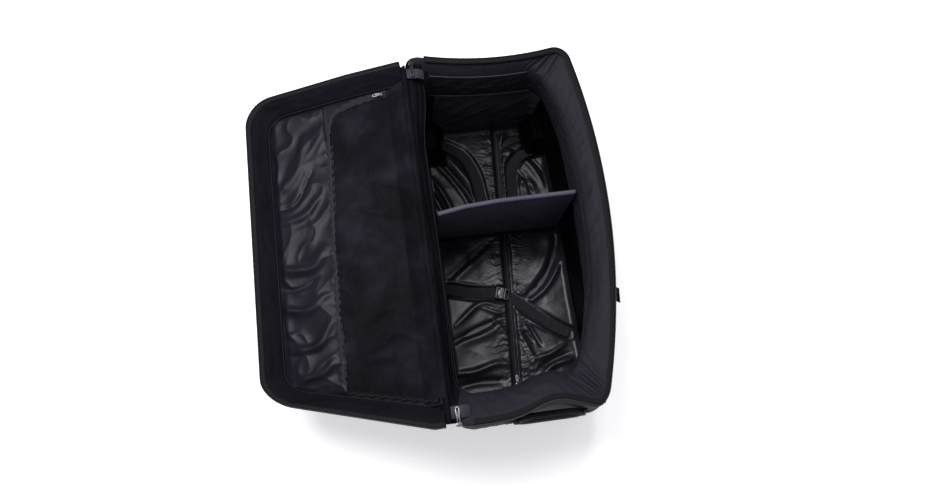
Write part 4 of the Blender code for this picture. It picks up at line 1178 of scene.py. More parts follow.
def make_buckle(name, centre, turn):
    """A side-release buckle: a framed receiver with side windows, and a two-armed plug in it."""
    bottom = STRAP_Z + 0.0015
    matrix = Matrix.Translation((centre[0], centre[1], bottom)) @ Matrix.Rotation(turn, 4, "Z")
    receiver = block((-0.0238, -0.0168, 0.0), (-0.0002, 0.0168, 0.0098), BUCKLE_PLASTIC, 0.0022)
    holes = [block((-0.0155, y0, 0.0022), (-0.0075, y1, 0.0080), BUCKLE_PLASTIC, 0.0006)
             for y0, y1 in ((-0.0140, -0.0185), (0.0070, 0.0220))]
    holes.append(block((-0.0120, -0.0122, 0.0020), (0.0010, 0.0122, 0.0080), BUCKLE_PLASTIC, 0.0005))
    holes.append(block((-0.0225, -0.0120, 0.0062), (-0.0185, 0.0120, 0.0110), BUCKLE_PLASTIC, 0.0005))
    cut_away(receiver, *holes)
    # A light ridge round the receiver's top edge and a light plate on it: painted highlights.
    corners = [(-0.0216, -0.0146), (-0.0022, -0.0146), (-0.0022, 0.0146), (-0.0216, 0.0146)]
    corners = [(x, y, 0.0099) for x, y in corners + corners[:1]]
    ridge = even_line(corners, 0.0010)[:-1]
    ridge = sweep("ridge", ridge, round_profile(0.0010, 6), HIGHLIGHT_PLASTIC, UP, closed=True)
    plate = block((-0.0165, -0.0085, 0.0094), (-0.0065, 0.0085, 0.0106), HIGHLIGHT_PLASTIC, 0.0005)
    whole = joined(name + "_buckle_socket", [receiver, ridge, plate])
    whole.data.transform(matrix)
    place(whole, "bag_body", "black_plastic", name + "_buckle_receiver")
    head = [(0.0008, 0.0162), (0.0145, 0.0162), (0.0158, 0.0145)]
    outline = [(x, y) for x, y in head] + [(x, -y) for x, y in reversed(head)]
    plug = slab(outline, 0.0018, 0.0084, BUCKLE_PLASTIC, 0.0010)
    slot = block((0.0085, -0.0120, 0.0), (0.0122, 0.0120, 0.012), BUCKLE_PLASTIC, 0.0006)
    cut_away(plug, slot)
    parts = [plug]
    for s in (-1, 1):
        arm = [(0.002, s * 0.0095, 0.005), (-0.004, s * 0.0098, 0.005), (-0.009, s * 0.0104, 0.005),
               (-0.0125, s * 0.0112, 0.005)]
        parts.append(sweep("arm", smooth_line(arm, 4), webbing_profile(0.0022, 0.0040), BUCKLE_PLASTIC))
    parts.append(block((-0.0105, -0.0030, 0.0036), (0.0015, 0.0030, 0.0064), BUCKLE_PLASTIC, 0.0006))
    # A light bar across the plug's head: painted highlight.
    parts.append(block((0.0020, -0.0130, 0.0080), (0.0036, 0.0130, 0.0092), HIGHLIGHT_PLASTIC, 0.0004))
    plug = joined(name + "_buckle_tongue", parts)
    plug.data.transform(matrix)
    place(plug, name + "_buckle_plug", "black_plastic", name + "_buckle_plug")


# Zip sliders ---------------------------------------------------------------------------------
def slider_body(name, matrix, metal=ZIP_METAL):
    """A cast slider: two plates, a neck between them and the bridge that holds the pull."""
    plate = [(-0.0066, 0.0030), (-0.0030, 0.0047), (0.0030, 0.0047), (0.0068, 0.0026)]
    outline = plate + [(x, -y) for x, y in reversed(plate)]
    parts = [slab(outline, -0.0027, -0.0013, metal, 0.0004),
             slab(outline, 0.0010, 0.0026, metal, 0.0004),
             block((-0.002, -0.0016, -0.0016), (0.003, 0.0016, 0.0014), metal, 0.0003)]
    arch = [(-0.0052, 0, 0.0024), (-0.0046, 0, 0.0046), (0, 0, 0.0056), (0.0046, 0, 0.0046),
            (0.0052, 0, 0.0024)]
    parts.append(sweep("arch", smooth_line(arch, 5), webbing_profile(0.0026, 0.0011), metal, (0, 1, 0.01)))
    body = joined(name, parts)
    body.data.transform(matrix)
    return body


def pull_tab(name, length, width, matrix, metal=ZIP_METAL):
    """A tapered pull with a slot near its pivot, a hole near its end and a raised rib along it, along +X."""
    w = width / 2
    outline = [(0.0, w * 0.62), (length * 0.35, w * 0.72), (length * 0.75, w), (length * 0.93, w * 0.86),
               (length, w * 0.4)]
    outline += [(x, -y) for x, y in reversed(outline)]
    tab = slab(outline, -0.0009, 0.0009, metal, 0.0005)
    slot = block((0.0022, -w * 0.34, -0.003), (0.0022 + length * 0.16, w * 0.34, 0.003), ZIP_METAL, 0.0004)
    hole = block((length * 0.72, -w * 0.42, -0.003), (length * 0.90, w * 0.42, 0.003), ZIP_METAL, 0.0012)
    cut_away(tab, slot, hole)
    ridge = [(length * t, 0, 0.0010) for t in (0.28, 0.45, 0.64)]
    rib = sweep("rib", smooth_line(ridge, 4), webbing_profile(width * 0.30, 0.0012), metal)
    pull = joined(name, [tab, rib])
    pull.data.transform(matrix)
    return pull


def frame_matrix(origin, along, up):
    """Axes with X along and Z near up."""
    x = Vector(along).normalized()
    y = Vector(up).cross(x).normalized()
    z = x.cross(y)
    matrix = Matrix((x, y, z)).transposed().to_4x4()
    matrix.translation = Vector(origin)
    return matrix


def make_sliders():
    lift = FLOOR_Z + 0.0011 + 0.0038
    centre = Vector((*ZIP_NEAR, lift)) + Vector((*ZIP_ALONG, 0)) * 0.030
    along = (*ZIP_ALONG, 0)
    body = slider_body("lining_slider_body", frame_matrix(centre, along, UP))
    place(body, "lining_zip_slider", "zip_metal", "lining_zip_slider")
    pivot = frame_matrix(centre + Vector((0, 0, 0.0046)), along, UP)
    pull = pull_tab("lining_slider_pull", 0.027, 0.008, pivot)
    place(pull, "lining_zip_pull", "zip_metal", "lining_zip_pull")
    # The wheel end's slider and pull take the darker zip metal: painted shade.
    ends = (("handle_end", -0.461, 1, ZIP_METAL), ("wheel_end", 0.470, -1, SHADED_ZIP_METAL))
    for name, y, inward, metal in ends:
        centre = Vector((-0.214, y, RIM_Z + 0.0062))
        body = slider_body("main_slider_body_" + name, frame_matrix(centre, (1, 0, 0), UP), metal)
        place(body, "main_zip_slider_" + name, "zip_metal", "main_zip_slider_" + name)
        pivot = centre + Vector((0, 0.002 * inward, 0.0044))
        place_at = frame_matrix(pivot, (0, inward, 0), UP)
        pull = pull_tab("main_slider_pull_" + name, 0.038, 0.011, place_at, metal)
        place(pull, "main_zip_pull_" + name, "zip_metal", "main_zip_pull_" + name)
    n = -LID_DEPTH + 0.0094
    up = Vector(LID_UP)
    out = Vector(lid_xyz(1, 0, 0) - lid_xyz(0, 0, 0))
    centre = Vector(lid_xyz(0.078, 0.406, n + 0.0042))
    # The pocket slider's body takes the darker zip metal: painted shade.
    body = slider_body("pocket_slider_body", frame_matrix(centre, out, up), SHADED_ZIP_METAL)
    place(body, "pocket_zip_slider", "zip_metal", "pocket_zip_slider")
    pivot = Vector(lid_xyz(0.074, 0.406, n + 0.0086))
    pull = pull_tab("pocket_slider_pull", 0.027, 0.009, frame_matrix(pivot, out, up))
    place(pull, "pocket_zip_pull", "zip_metal", "pocket_zip_pull")


make_divider()
make_straps()
make_buckle("near", (-0.009, -0.092), math.radians(-17))
make_buckle("far", (0.018, 0.150), 0.0)
make_sliders()


# Lid -----------------------------------------------------------------------------------------
def lid_middle(inset, start, rows, columns):
    """(s, y) over the lid's plane inside its bands, for a grid from near the hinge outwards."""
    s1, y0, y1, r = lid_limits(inset)
    s = start + (s1 - start) * (1 - (1 - np.linspace(0, 1, rows)) ** 1.25)
    over = np.maximum(0, s - (s1 - r))
    tuck = r - np.sqrt(np.maximum(0, r * r - over * over))
    t = np.linspace(0, 1, columns)
    y = (y0 + tuck)[:, None] + (y1 - y0 - 2 * tuck)[:, None] * t[None, :]
    return s[:, None] * np.ones_like(y), y


def drop_from_hinge(s, start, n_start, n_out):
    return n_start + (n_out - n_start) * np.minimum(1, np.maximum(0, s - start) / 0.045)


def make_lid_shell():
    """The lid's outer cloth: its top panel and the sloped border round it."""
    s, y = lid_middle(0.046, 0.012, 90, 150)
    n = drop_from_hinge(s, 0.012, -0.014, -LID_DEPTH)
    slack = 0.0035 * layers(s * 7, y * 6, 131) + 0.0020 * (creases(s * 9 + y * 3, y * 6, 132) - 0.4)
    edge = ease((s - 0.012) / 0.05) * ease((LID_LENGTH - 0.046 - s) / 0.04)
    n = n - 0.0015 - edge * np.maximum(slack + 0.0030, 0)
    panel = grid("lid_top_panel", lid_xyz(s, y, n), POLYESTER, wanted=-LID_UP)
    solidify(panel, 0.0022)
    place(panel, "lid", "outer_polyester", "lid_panel")
    rows = []
    for t in np.linspace(0, 1, 12):
        points, s, y = lid_ring(0.052 * t, -0.0055 - (LID_DEPTH - 0.0055) * t)
        ripple = (0.0016 * layers(s * 18, y * 18, 133) + 0.0022) * math.sin(math.pi * t)
        rows.append(points - LID_UP * np.maximum(ripple, 0)[:, None])
    border = grid("lid_border_cloth", np.array(rows), POLYESTER, wanted=-LID_UP)
    solidify(border, 0.0018)
    place(border, "lid", "outer_polyester")
    seam, _, _ = lid_ring(0.050, -LID_DEPTH - 0.0012)
    pipe("lid_panel_piping", even_line(seam, 0.004), 0.0024, -LID_UP, "lid", "outer_polyester")


def make_lid_bands():
    """The padded border inside the lid, one piece round its three free sides."""
    rows = []
    for v in np.linspace(0, 1, 18):
        points, s, y = lid_ring(0.003 + LID_BAND * v, -0.0025 - (LID_DEPTH - 0.0105) * v ** 1.15)
        reach = lengths(points)
        middle = math.sin(math.pi * v) ** 0.7
        lift = middle * (0.0045 + 0.0030 * (creases(reach * 18 + v, v * 1.2, 141, 2) - 0.3)
                         + 0.0030 * layers(reach * 6, v * 2, 142))
        rows.append(points + LID_UP * lift[:, None])
    under = [lid_ring(0.003 + LID_BAND * v, -0.0050 - (LID_DEPTH - 0.0080) * v)[0]
             for v in (1.0, 0.6, 0.2, 0.0)]
    # The lid's band takes the darker band cloth: painted shade.
    band = grid("lid_band", np.array(rows + under + rows[:1]), SHADED_BAND_CLOTH)
    fix_outward(band)
    place(band, "lid", "padded_band", "lid_wheel_end_band", "lid_outer_band", "lid_handle_end_band")
    pipe("lid_band_binding", even_line(rows[-1] + LID_UP * 0.0004, 0.004), 0.0020, LID_UP, "lid", "binding")
    place(stitches("lid_band_stitches", rows[-3] + LID_UP * 0.0004, LID_UP), "lid", "binding")


def make_lid_zip():
    outer, _, _ = lid_ring(0.0, -0.0006)
    inner, _, _ = lid_ring(0.012, -0.0030)
    rows = np.array([outer + (inner - outer) * t for t in (-0.1, 0.3, 0.65, 1.0)]) + LID_UP * 0.0006
    tape = grid("lid_zip_tape_cloth", rows, DARK_TAPE, wanted=LID_UP)
    solidify(tape, 0.0011, 0.0)
    place(tape, "lid", "zip_tape", "lid_zip_tape")
    coil = teeth("lid_zip_coil", outer + (outer - inner) * 0.10 + LID_UP * 0.0008, LID_UP, 0.0015)
    place(coil, "lid", "zip_tape")
    line = even_line(outer - LID_UP * 0.0052, 0.004)
    pipe("lid_edge_piping", line, 0.0030, LID_UP, "lid", "outer_polyester")


# Folds in the lid's slack lining, in millimetres: (width, height, points as (s, y)).
LID_FOLDS = [
    (12, 10, (300, 340), (330, 250), (380, 200)), (10, 10, (280, 160), (320, 120), (390, 110)),
    (13, 12, (270, 20), (310, -30), (390, -20)), (11, 11, (280, -120), (330, -160), (400, -150)),
    (10, 12, (270, -200), (310, -270), (380, -290)), (9, 10, (270, -310), (300, -350), (360, -380)),
    (8, -6, (290, 240), (340, 160), (400, 150)), (8, -6, (300, -60), (350, -90), (400, -80)),
]


def make_lid_lining():
    """The shiny lining over the lid's inner face, slack and wrinkled."""
    s, y = lid_middle(0.050, 0.016, 170, 330)
    n = drop_from_hinge(s, 0.016, -0.010, -LID_DEPTH + 0.0035)
    warp = 0.03 * noise(s * 8, y * 8, 151)
    lift = 0.0050 * (layers(s * 8, y * 7, 152, 2) + 0.4)
    lift += 0.0085 * creases((s + warp) * 8 + y * 2.5, (y - warp) * 6.5, 153, 2)
    lift += folds(s, y, LID_FOLDS)
    edge = ease((s - 0.016) / 0.04) * ease((LID_LENGTH - 0.052 - s) / 0.02)
    y0, y1 = LID_Y[0] + 0.050, LID_Y[1] - 0.050
    edge = edge * ease((y - y0) / 0.015) * ease((y1 - y) / 0.015)
    under_pocket = ease((0.252 - s) / 0.012)
    limit = 0.0012 + 0.014 * (1 - under_pocket)
    lift = limit * np.tanh(np.maximum(lift, 0) / np.maximum(limit, 1e-4))
    points = lid_xyz(s, y, n + 0.0008 + lift * edge)
    lining = grid("lid_lining_cloth", points, LID_LINING_CLOTH, wanted=LID_UP)
    solidify(lining, 0.0006)
    place(lining, "lid", "lining_nylon", "lid_lining")


POCKET_ROUTE = [(0.066, 0.408), (0.120, 0.406), (0.174, 0.400), (0.212, 0.382), (0.229, 0.335),
                (0.235, 0.230), (0.241, 0.060), (0.247, -0.120), (0.250, -0.230), (0.250, -0.378)]
POCKET_N = -LID_DEPTH + 0.0094
# Folds in the slack net, in millimetres: (width, height, points as (s, y)).
POCKET_FOLDS = [
    (10, 9, (30, 120), (80, 150), (140, 175)), (9, 8, (60, 20), (110, 110), (130, 200)),
    (8, 8, (30, 60), (100, 75), (200, 120)), (12, 8, (50, 330), (120, 300), (190, 230)),
    (10, 10, (100, -60), (110, -120), (150, -200)), (12, 9, (160, 20), (190, -40), (200, -100)),
    (9, 9, (60, -190), (120, -175), (190, -215)), (8, 8, (40, -260), (110, -240), (180, -290)),
    (10, 7, (80, -330), (130, -300), (200, -320)), (9, 8, (35, -80), (60, -140), (80, -230)),
]


def make_lid_pocket():
    """The net pocket beside the hinge, its scalloped zip tape and its gathered near hem."""
    route = smooth_line(POCKET_ROUTE, 14)
    t = np.linspace(0, 1, 250)
    y = -0.398 + (0.398 + 0.405) * t
    order = np.argsort(route[:, 1])
    out = np.interp(y, route[order, 1], route[order, 0]) + 0.004
    v = np.linspace(0, 1, 90)[:, None]
    s = 0.006 + (out[None, :] - 0.006) * v
    yy = np.broadcast_to(y, s.shape)
    n = -0.0070 - (LID_DEPTH - 0.0140) * np.minimum(1, np.maximum(0, s - 0.020) / 0.042)
    free = ease(v / 0.1) * ease((1 - v) / 0.05) * ease(t / 0.05) * ease((1 - t) / 0.04)
    drape = 0.0090 * (layers(s * 6, yy * 4, 161, 2) + 0.35)
    drape = drape + 0.0080 * (creases(s * 8 + yy * 4, yy * 6 - s * 5, 162, 2) - 0.1)
    drape = drape + folds(s, yy, POCKET_FOLDS)
    hem = 0.0028 * np.maximum(0, np.sin(s * 2 * math.pi / 0.026)) * ease((0.045 - (yy + 0.398)) / 0.03)
    hem = hem + 0.0022 * np.sin(yy * 2 * math.pi / 0.023) * ease((v - 0.90) / 0.08)
    n = n + np.maximum(drape * free, -0.0002) + hem - 0.0030 * ease((0.06 - v) / 0.05)
    mesh = grid("lid_net_pocket", lid_xyz(s, yy, n + 0.0006), NET_CLOTH, wanted=LID_UP)
    place(mesh, "lid", "pocket_mesh", "lid_mesh_pocket")
    path = even_line(smooth_line(POCKET_ROUTE, 14), 0.002)
    reach = np.arange(len(path)) * 0.002
    line = lid_xyz(path[:, 0], path[:, 1], POCKET_N)
    along, _, side = frames(line, LID_UP)
    rows = []
    for k in np.linspace(-1, 1, 9):
        wave = np.sin(reach * 2 * math.pi / 0.023 + (0.6 if k > 0 else 0))
        width = 0.0090 + (0.0014 * wave + 0.0006 * noise(reach * 60, k, 171)) * abs(k)
        height = 0.0012 * abs(k) ** 2 * np.sin(reach * 2 * math.pi / 0.023 + 1.7 * k) + 0.0014
        rows.append(line + side * (k * width)[:, None] + LID_UP * height[:, None])
    tape = grid("pocket_tape_cloth", np.array(rows), TAPE_CLOTH, wanted=LID_UP)
    solidify(tape, 0.0009)
    place(tape, "lid", "zip_tape", "pocket_zip_tape")
    coil = teeth("pocket_zip_coil", line + LID_UP * 0.0020, LID_UP, 0.0011)
    place(coil, "lid", "zip_tape")
    s = np.linspace(0.024, 0.240, 150)
    n = -0.0070 - (LID_DEPTH - 0.0140) * np.minimum(1, (s - 0.020) / 0.042)
    wave = np.maximum(0, np.sin(s * 2 * math.pi / 0.026))
    hem_line = lid_xyz(s, -0.398 - 0.0025 * wave, n + 0.0020 + 0.0028 * wave)
    profile = webbing_profile(0.009, 0.0024)
    hem = sweep("pocket_hem", hem_line, profile, DARK_TAPE, LID_UP, scale=0.85 + 0.25 * wave)
    place(hem, "lid", "zip_tape")


def make_hinge_flap():
    """The strip of cloth that joins the lid to the back wall, slack below the hinge when open."""
    y = np.linspace(-0.456, 0.466, 160)
    slack = 1 - 0.75 * ease((np.abs(y - 0.005) - 0.385) / 0.06)
    a = np.array([-0.2292, 0.3500])
    b = np.array([-0.2446, 0.3530])
    outline = ring(RIM)[np.arange(BACK_START - 12, HANDLE_START + 13) % RING_COUNT]
    order = np.argsort(outline[:, 1])
    edge = np.interp(y, outline[order, 1], outline[order, 0]) + 0.0008
    rows = []
    for t in np.linspace(0, 1, 16):
        first = edge - hinge_bow(y)
        x = first + (b[0] - first) * t
        drop = 0.0018 + 0.0120 * slack * math.sin(math.pi * t) ** 0.8
        z = a[1] + (b[1] - a[1]) * t - drop + 0.0012 * noise(y * 14, t * 3, 181)
        rows.append(np.column_stack([x, y, z]))
    for out, down in ((0.001, -0.006), (0.005, -0.012), (0.012, -0.0152), (0.024, -0.0175)):
        rows.append(lid_xyz(out + 0 * y, y, down + 0 * y))
    # The hinge flap takes the darker band cloth: painted shade.
    flap = grid("hinge_flap", np.array(rows), SHADED_BAND_CLOTH, wanted=UP)
    solidify(flap, 0.0012, 0.0)
    apply_modifiers(flap)
    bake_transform(flap)


def make_hinge_patches():
    """Small reinforcing patches over the hinge band's two ends, where the zip stops."""
    for name, y0, y1 in (("wheel_end", 0.428, 0.456), ("handle_end", -0.447, -0.418)):
        u, v = np.meshgrid(np.linspace(0, 1, 30), np.linspace(0, 1, 16))
        x = -0.229 + 0.046 * u
        y = y0 + (y1 - y0) * v
        z = 0.3590 - 0.027 * ease((x + 0.205) / 0.05) + 0.004 * np.sin(math.pi * v)
        z += 0.0015 * noise(x * 60, y * 60, 191)
        patch = grid("hinge_patch_" + name, np.stack([x, y, z], -1), PATCH_CLOTH, wanted=UP)
        solidify(patch, 0.0014, 0.0)
        place(patch, "bag_body", "binding")


make_lid_shell()
make_lid_bands()
make_lid_zip()
make_lid_lining()
make_lid_pocket()
make_hinge_flap()
make_hinge_patches()


# Handles -------------------------------------------------------------------------------------
def shell_x(hand, y, z):
    """The outer shell's x at a place on its front or back wall."""
    heights = np.array([row[0][2] for row in SHELL])
    row = SHELL[int(np.argmin(np.abs(heights - z)))]
    first, last = (ARC, ARC + LONG_RUN) if hand > 0 else (BACK_START + ARC, BACK_START + ARC + LONG_RUN)
    part = row[first:last]
    order = np.argsort(part[:, 1])
    return float(np.interp(y, part[order, 1], part[order, 0]))


def wall_run(hand, points, off=0.0022):
    """A line on the wall through (y, z) points, just outside the slack cloth."""
    line = even_line(np.array([(0, y, z) for y, z in points]), 0.004)
    x = np.array([max(hand * shell_x(hand, p[1] + dy, p[2]) for dy in (-0.015, 0, 0.015)) for p in line])
    smooth = np.convolve(np.pad(x, 3, mode="edge"), np.ones(7) / 7, "valid")
    line[:, 0] = hand * (np.maximum(smooth, x) + off)
    return line


def box_stitch(y, z, height, hand):
    """The square and cross that fix webbing to the wall."""
    w, h = 0.015, height / 2
    corners = [(y - w, z - h), (y + w, z - h), (y + w, z + h), (y - w, z + h)]
    runs = [corners[:2], corners[1:3], corners[2:4], [corners[3], corners[0]], [corners[0], corners[2]],
            [corners[1], corners[3]]]
    face = (hand, 0, 0)
    return [stitches("run", wall_run(hand, run, 0.0036), face, 0.0034, 0.0025) for run in runs]


def make_wall_webbing(hand, name):
    """Two uprights and a cross strap sewn on the wall."""
    face = (hand, 0, 0)
    parts, rows = [], []
    for y in HANDLE_ENDS_Y:
        line = wall_run(hand, [(y, 0.030), (y, 0.262)])
        parts.append(sweep("upright", line, webbing_profile(0.038, 0.0020), WEBBING_CLOTH, face))
        for side in (-0.0165, 0.0165):
            edge = wall_run(hand, [(y + side, 0.036), (y + side, 0.215)], 0.0035)
            rows.append(stitches("edge", edge, face))
        rows += box_stitch(y, 0.236, 0.036, hand)
    cross = wall_run(hand, [(HANDLE_ENDS_Y[0] + 0.019, 0.048), (HANDLE_ENDS_Y[1] - 0.019, 0.048)])
    parts.append(sweep("cross", cross, webbing_profile(0.036, 0.0020), WEBBING_CLOTH, face))
    place(joined(name + "_wall_straps", parts), "bag_body", "webbing", name + "_wall_webbing")
    place(joined(name + "_wall_stitches", rows), "bag_body", "webbing")


def handle_line(name, first=-1.0, last=1.0, count=80):
    y0, y1 = HANDLE_ENDS_Y
    t = np.linspace(first, last, count)
    drop = HANDLE_DROP * (1 - np.abs(t) ** 3.2)
    x = HANDLE_X[name] + HANDLE_LEAN[name] * t
    return np.column_stack([x, (y0 + y1) / 2 + (y1 - y0) / 2 * t, HANDLE_AXIS_Z - drop])


def make_carry_handle(hand, name):
    """A webbing loop that hangs from its two sewn ends."""
    body = name + "_carry_handle"
    line = even_line(handle_line(name, count=200), 0.004)
    loop = sweep(name + "_handle_loop", line, webbing_profile(0.038, 0.0030), WEBBING_CLOTH, (hand, 0, 0))
    place(loop, body, "webbing", body)
    _, _, side = frames(line, (hand, 0, 0))
    rows = [stitches("row", line[4:-4] + side[4:-4] * w + [hand * 0.0019, 0, 0], (hand, 0, 0))
            for w in (-0.0160, 0.0160)]
    place(joined(name + "_handle_stitches", rows), body, "webbing")


def make_hand_wrap():
    """A padded sleeve closed round the front handle with a hook and loop flap."""
    line = handle_line("front", -0.28, 0.28, 44)
    profile = []
    for a in np.linspace(0, 2 * math.pi, 36, endpoint=False):
        c, s = math.cos(a), math.sin(a)
        profile.append((0.0245 * math.copysign(abs(c) ** 0.75, c), 0.0078 * math.copysign(abs(s) ** 0.8, s)))
    t = np.linspace(-1, 1, 44)
    size = 1 - 0.10 * np.abs(t) ** 8 + 0.02 * np.cos(t * 9)
    wrap = sweep("hand_wrap_sleeve", line, profile, BAND_CLOTH, (1, 0, 0), scale=size)
    place(wrap, "front_carry_handle", "padded_band", "hand_wrap")
    rows = [stitches("row", line[3:-3] + [0.0086, 0, z], (1, 0, 0)) for z in (0.0120, -0.0120)]
    place(joined("hand_wrap_stitches", rows), "front_carry_handle", "padded_band")
    path = line[6:-6] + [0.0084, 0, -0.002]
    flap = sweep("hand_wrap_flap", path, webbing_profile(0.020, 0.0022), PIPING_CLOTH, (1, 0, 0))
    place(flap, "front_carry_handle", "padded_band")


def end_handle_line():
    """The grab handle's middle line and the way its broad side looks, flat on the wall at both ends."""
    t = np.linspace(-1, 1, 70)
    out = 1 - np.abs(t) ** 4
    line = np.array(END_AXIS) + np.column_stack([END_REACH * t, -0.0005 + 0.005 * out, -0.015 - 0.010 * out])
    return line, t, np.column_stack([0 * t, -1 + 0.25 * out, 0.15 + 0.50 * out])


def make_end_handle():
    """The padded grab handle: layers of webbing and foam, quilted by rows along it."""
    line, t, face = end_handle_line()
    half, thick = 0.0150, 0.0056
    profile = []
    for x in np.linspace(half, -half, 25):
        groove = 0.0011 * max(0, math.cos(x / half * math.pi * 2.5)) ** 4
        profile.append((x, thick * (1 - (abs(x) / half) ** 4) ** 0.5 - groove + 0.0006))
    profile += [(x, -y) for x, y in reversed(profile[1:-1])]
    size = 0.86 + 0.14 * ease((1 - np.abs(t)) / 0.25)
    grip = sweep("end_handle_grip", line, profile, BAND_CLOTH, face, scale=size)
    place(grip, "end_grab_handle", "padded_band", "end_grab_handle")
    _, up, side = frames(line, face)
    rows = [stitches("row", line[6:-6] + side[6:-6] * w + up[6:-6] * 0.0056, face[6:-6])
            for w in (-0.0118, -0.0060, 0.0, 0.0060, 0.0118)]
    place(joined("end_handle_stitches", rows), "end_grab_handle", "padded_band")
    for hand, name in ((-1, "back"), (1, "front")):
        x = END_AXIS[0] + hand * END_REACH
        k = np.arange(9)
        tab_line = np.column_stack([x + 0 * k, END_AXIS[1] + 0.0044 - 0.0010 * abs(k - 4) / 4,
                                    END_AXIS[2] - 0.033 - 0.0066 * k])
        tab = sweep("end_tab_" + name, tab_line, webbing_profile(0.034, 0.0024), WEBBING_CLOTH, (0, -1, 0))
        place(tab, "bag_body", "webbing", "end_handle_tab_" + name)
        edge = tab_line[[0, 8]] - [0, 0.0022, 0]
        rows = [stitches("row", edge + [w, 0, 0], (0, -1, 0)) for w in (-0.013, 0.013)]
        place(joined("end_tab_stitches_" + name, rows), "bag_body", "webbing")


for hand, name in ((1, "front"), (-1, "back")):
    make_wall_webbing(hand, name)
    make_carry_handle(hand, name)
make_hand_wrap()
make_end_handle()


# Wheels and hard trim ------------------------------------------------------------------------
def dress(node, material, bevel=0.0):
    """A CAD node that stays gets its finish, and rounded edges where it is moulded."""
    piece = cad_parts[node]
    piece.data.materials.clear()
    piece.data.materials.append(material)
    if bevel:
        edge = piece.modifiers.new("edge", "BEVEL")
        edge.width = bevel
        edge.segments = 2
        edge.limit_method = "ANGLE"
        edge.angle_limit = math.radians(40)


def turned(name, centre, profile, material, tread):
    """A ring turned about an axis along X: profile points are (x, radius), and tread cuts into it."""
    profile = np.array(profile)
    rows = []
    for a in np.linspace(0, 2 * math.pi, 216, endpoint=False):
        r = tread(a, profile)
        rows.append(np.column_stack([profile[:, 0], r * math.cos(a), r * math.sin(a)]) + centre)
    points = np.array(rows)
    points = np.concatenate([points, points[:1]])
    ring_piece = grid(name, np.concatenate([points, points[:, :1]], 1), material)
    work = bmesh.new()
    work.from_mesh(ring_piece.data)
    bmesh.ops.remove_doubles(work, verts=work.verts, dist=1e-6)
    bmesh.ops.recalc_face_normals(work, faces=work.faces)
    work.to_mesh(ring_piece.data)
    work.free()
    return ring_piece


def make_wheels():
    """Grooved tyres over spoked hubs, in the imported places."""
    for hand, name in ((-1, "back"), (1, "front")):
        low, high = (np.array(v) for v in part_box("wheel_tyre_" + name))
        centre = (low + high) / 2
        r = (high[2] - low[2]) / 2
        w = (high[0] - low[0]) / 2
        half = [(w, 0.0262), (w, r - 0.006), (w * 0.93, r - 0.0025), (w * 0.7, r - 0.0006), (w * 0.35, r),
                (w * 0.30, r - 0.0016), (w * 0.12, r - 0.0016), (w * 0.06, r)]
        profile = [(-x, radius) for x, radius in half] + half[::-1]

        def tread(a, points):
            x, radius = points.T
            return radius - 0.0011 * (math.sin(a * 36) > 0.55) * (np.abs(x) > w * 0.6) * (radius > r - 0.004)

        tyre = turned("tyre_" + name, centre, profile, RUBBER, tread)
        place(tyre, "wheel_" + name, "tyre_rubber", "wheel_tyre_" + name)
        dress("wheel_hub_" + name, HUB_PLASTIC, 0.0008)
        dress("wheel_axle_" + name, STEEL, 0.0004)
        dress("wheel_housing_" + name, BLACK_PLASTIC, 0.0010)


def dome(name, centre, normal, radius, material):
    """A low rivet head."""
    rings = []
    x = Vector(normal).normalized()
    y = x.orthogonal().normalized()
    z = x.cross(y)
    for r, h in ((1.0, 0.0), (0.98, 0.18), (0.80, 0.36), (0.45, 0.48), (0.02, 0.52)):
        rings.append([Vector(centre) + (y * math.cos(a) + z * math.sin(a)) * radius * r + x * radius * h
                      for a in np.linspace(0, 2 * math.pi, 16, endpoint=False)])
    piece = grid(name, np.array(rings), material, closed=True)
    fix_outward(piece)
    return piece


def make_trim():
    dress("wheel_end_kick_plate", BLACK_PLASTIC, 0.0008)
    dress("base_board", BOARD, 0.0)
    for name in ("back", "middle", "front"):
        dress("skid_runner_" + name, BLACK_PLASTIC, 0.0015)
    low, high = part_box("wheel_end_kick_plate")
    heads = []
    for x in (low[0] + 0.012, (low[0] + high[0]) / 2, high[0] - 0.012):
        for z, share in ((low[2] + 0.010, 0.16), (high[2] - 0.010, 0.84)):
            y = low[1] + 0.0025 + (high[1] - low[1] - 0.0025) * share
            heads.append(dome("head", (x, y, z), (0, 1, 0), 0.0040, STEEL))
    place(joined("kick_plate_rivets", heads), "bag_body", "axle_steel")


make_wheels()
make_trim()


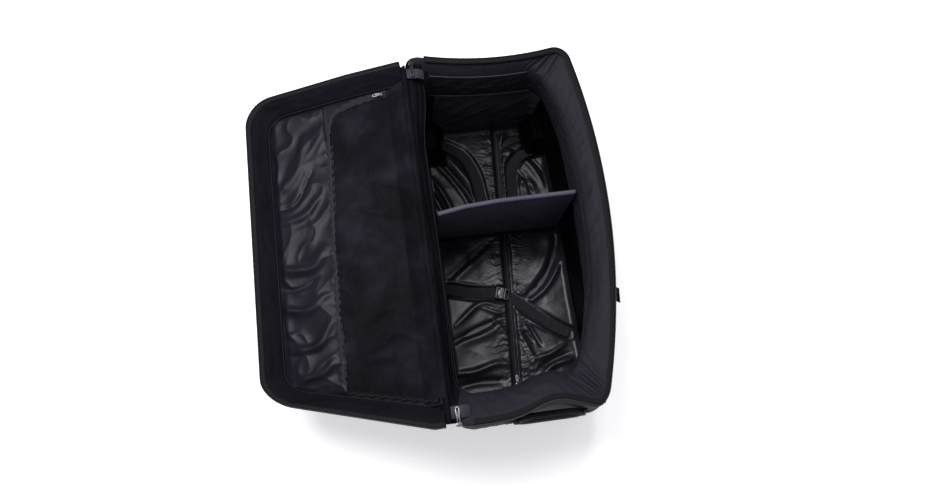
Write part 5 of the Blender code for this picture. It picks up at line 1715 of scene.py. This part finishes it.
# Floor, light and camera ---------------------------------------------------------------------
def soft_light(name, size, energy, place_at, target):
    lamp = bpy.data.lights.new(name, "AREA")
    lamp.shape = "DISK"
    lamp.size = size
    lamp.energy = energy
    lamp.color = (1.0, 0.975, 1.0)
    light = bpy.data.objects.new(name, lamp)
    bpy.context.scene.collection.objects.link(light)
    light.location = Vector(place_at)
    light.rotation_euler = (light.location - Vector(target)).to_track_quat("Z", "Y").to_euler()


def make_stage():
    """A plain pale floor, two soft lights high up and a pale sky."""
    verts = [(-9, -9, -0.0005), (9, -9, -0.0005), (9, 9, -0.0005), (-9, 9, -0.0005)]
    material, tree, shader = new_material("pale floor")
    fill(tree, shader, {"Base Color": (0.90, 0.90, 0.90, 1), "Roughness": 0.95, "Specular IOR Level": 0.1,
                        "Emission Color": (1, 1, 1, 1), "Emission Strength": 0.42})
    floor = new_mesh("floor", verts, [(0, 1, 2, 3)], material, np.array(verts)[:, :2])
    world = bpy.data.worlds.new("pale sky")
    world.use_nodes = True
    world.node_tree.nodes["Background"].inputs["Color"].default_value = (0.95, 0.94, 1.0, 1)
    world.node_tree.nodes["Background"].inputs["Strength"].default_value = 0.50
    bpy.context.scene.world = world
    soft_light("soft key", 1.5, 82, (-1.10, 0.62, 2.55), (-0.05, 0.0, 0.3))
    soft_light("soft top", 0.50, 20, (0.16, 0.80, 2.6), (0.0, 0.0, 0.0))


def make_camera():
    """Looks down into the open bag from over its handle end."""
    camera = bpy.data.cameras.new("camera")
    camera.lens = 29.05
    camera.sensor_width = 36
    eye = bpy.data.objects.new("camera", camera)
    bpy.context.scene.collection.objects.link(eye)
    location, target, roll = Vector((-0.3702, -0.5992, 2.1)), Vector((-0.1214, -0.025, 0.3)), 0.1411
    ahead = (target - location).normalized()
    right = ahead.cross(Vector((math.sin(roll), math.cos(roll), 0))).normalized()
    up = right.cross(ahead)
    matrix = Matrix((right, up, -ahead)).transposed().to_4x4()
    matrix.translation = location
    eye.matrix_world = matrix
    bpy.context.scene.camera = eye
    bpy.context.scene.view_settings.view_transform = "Standard"


make_stage()
make_camera()
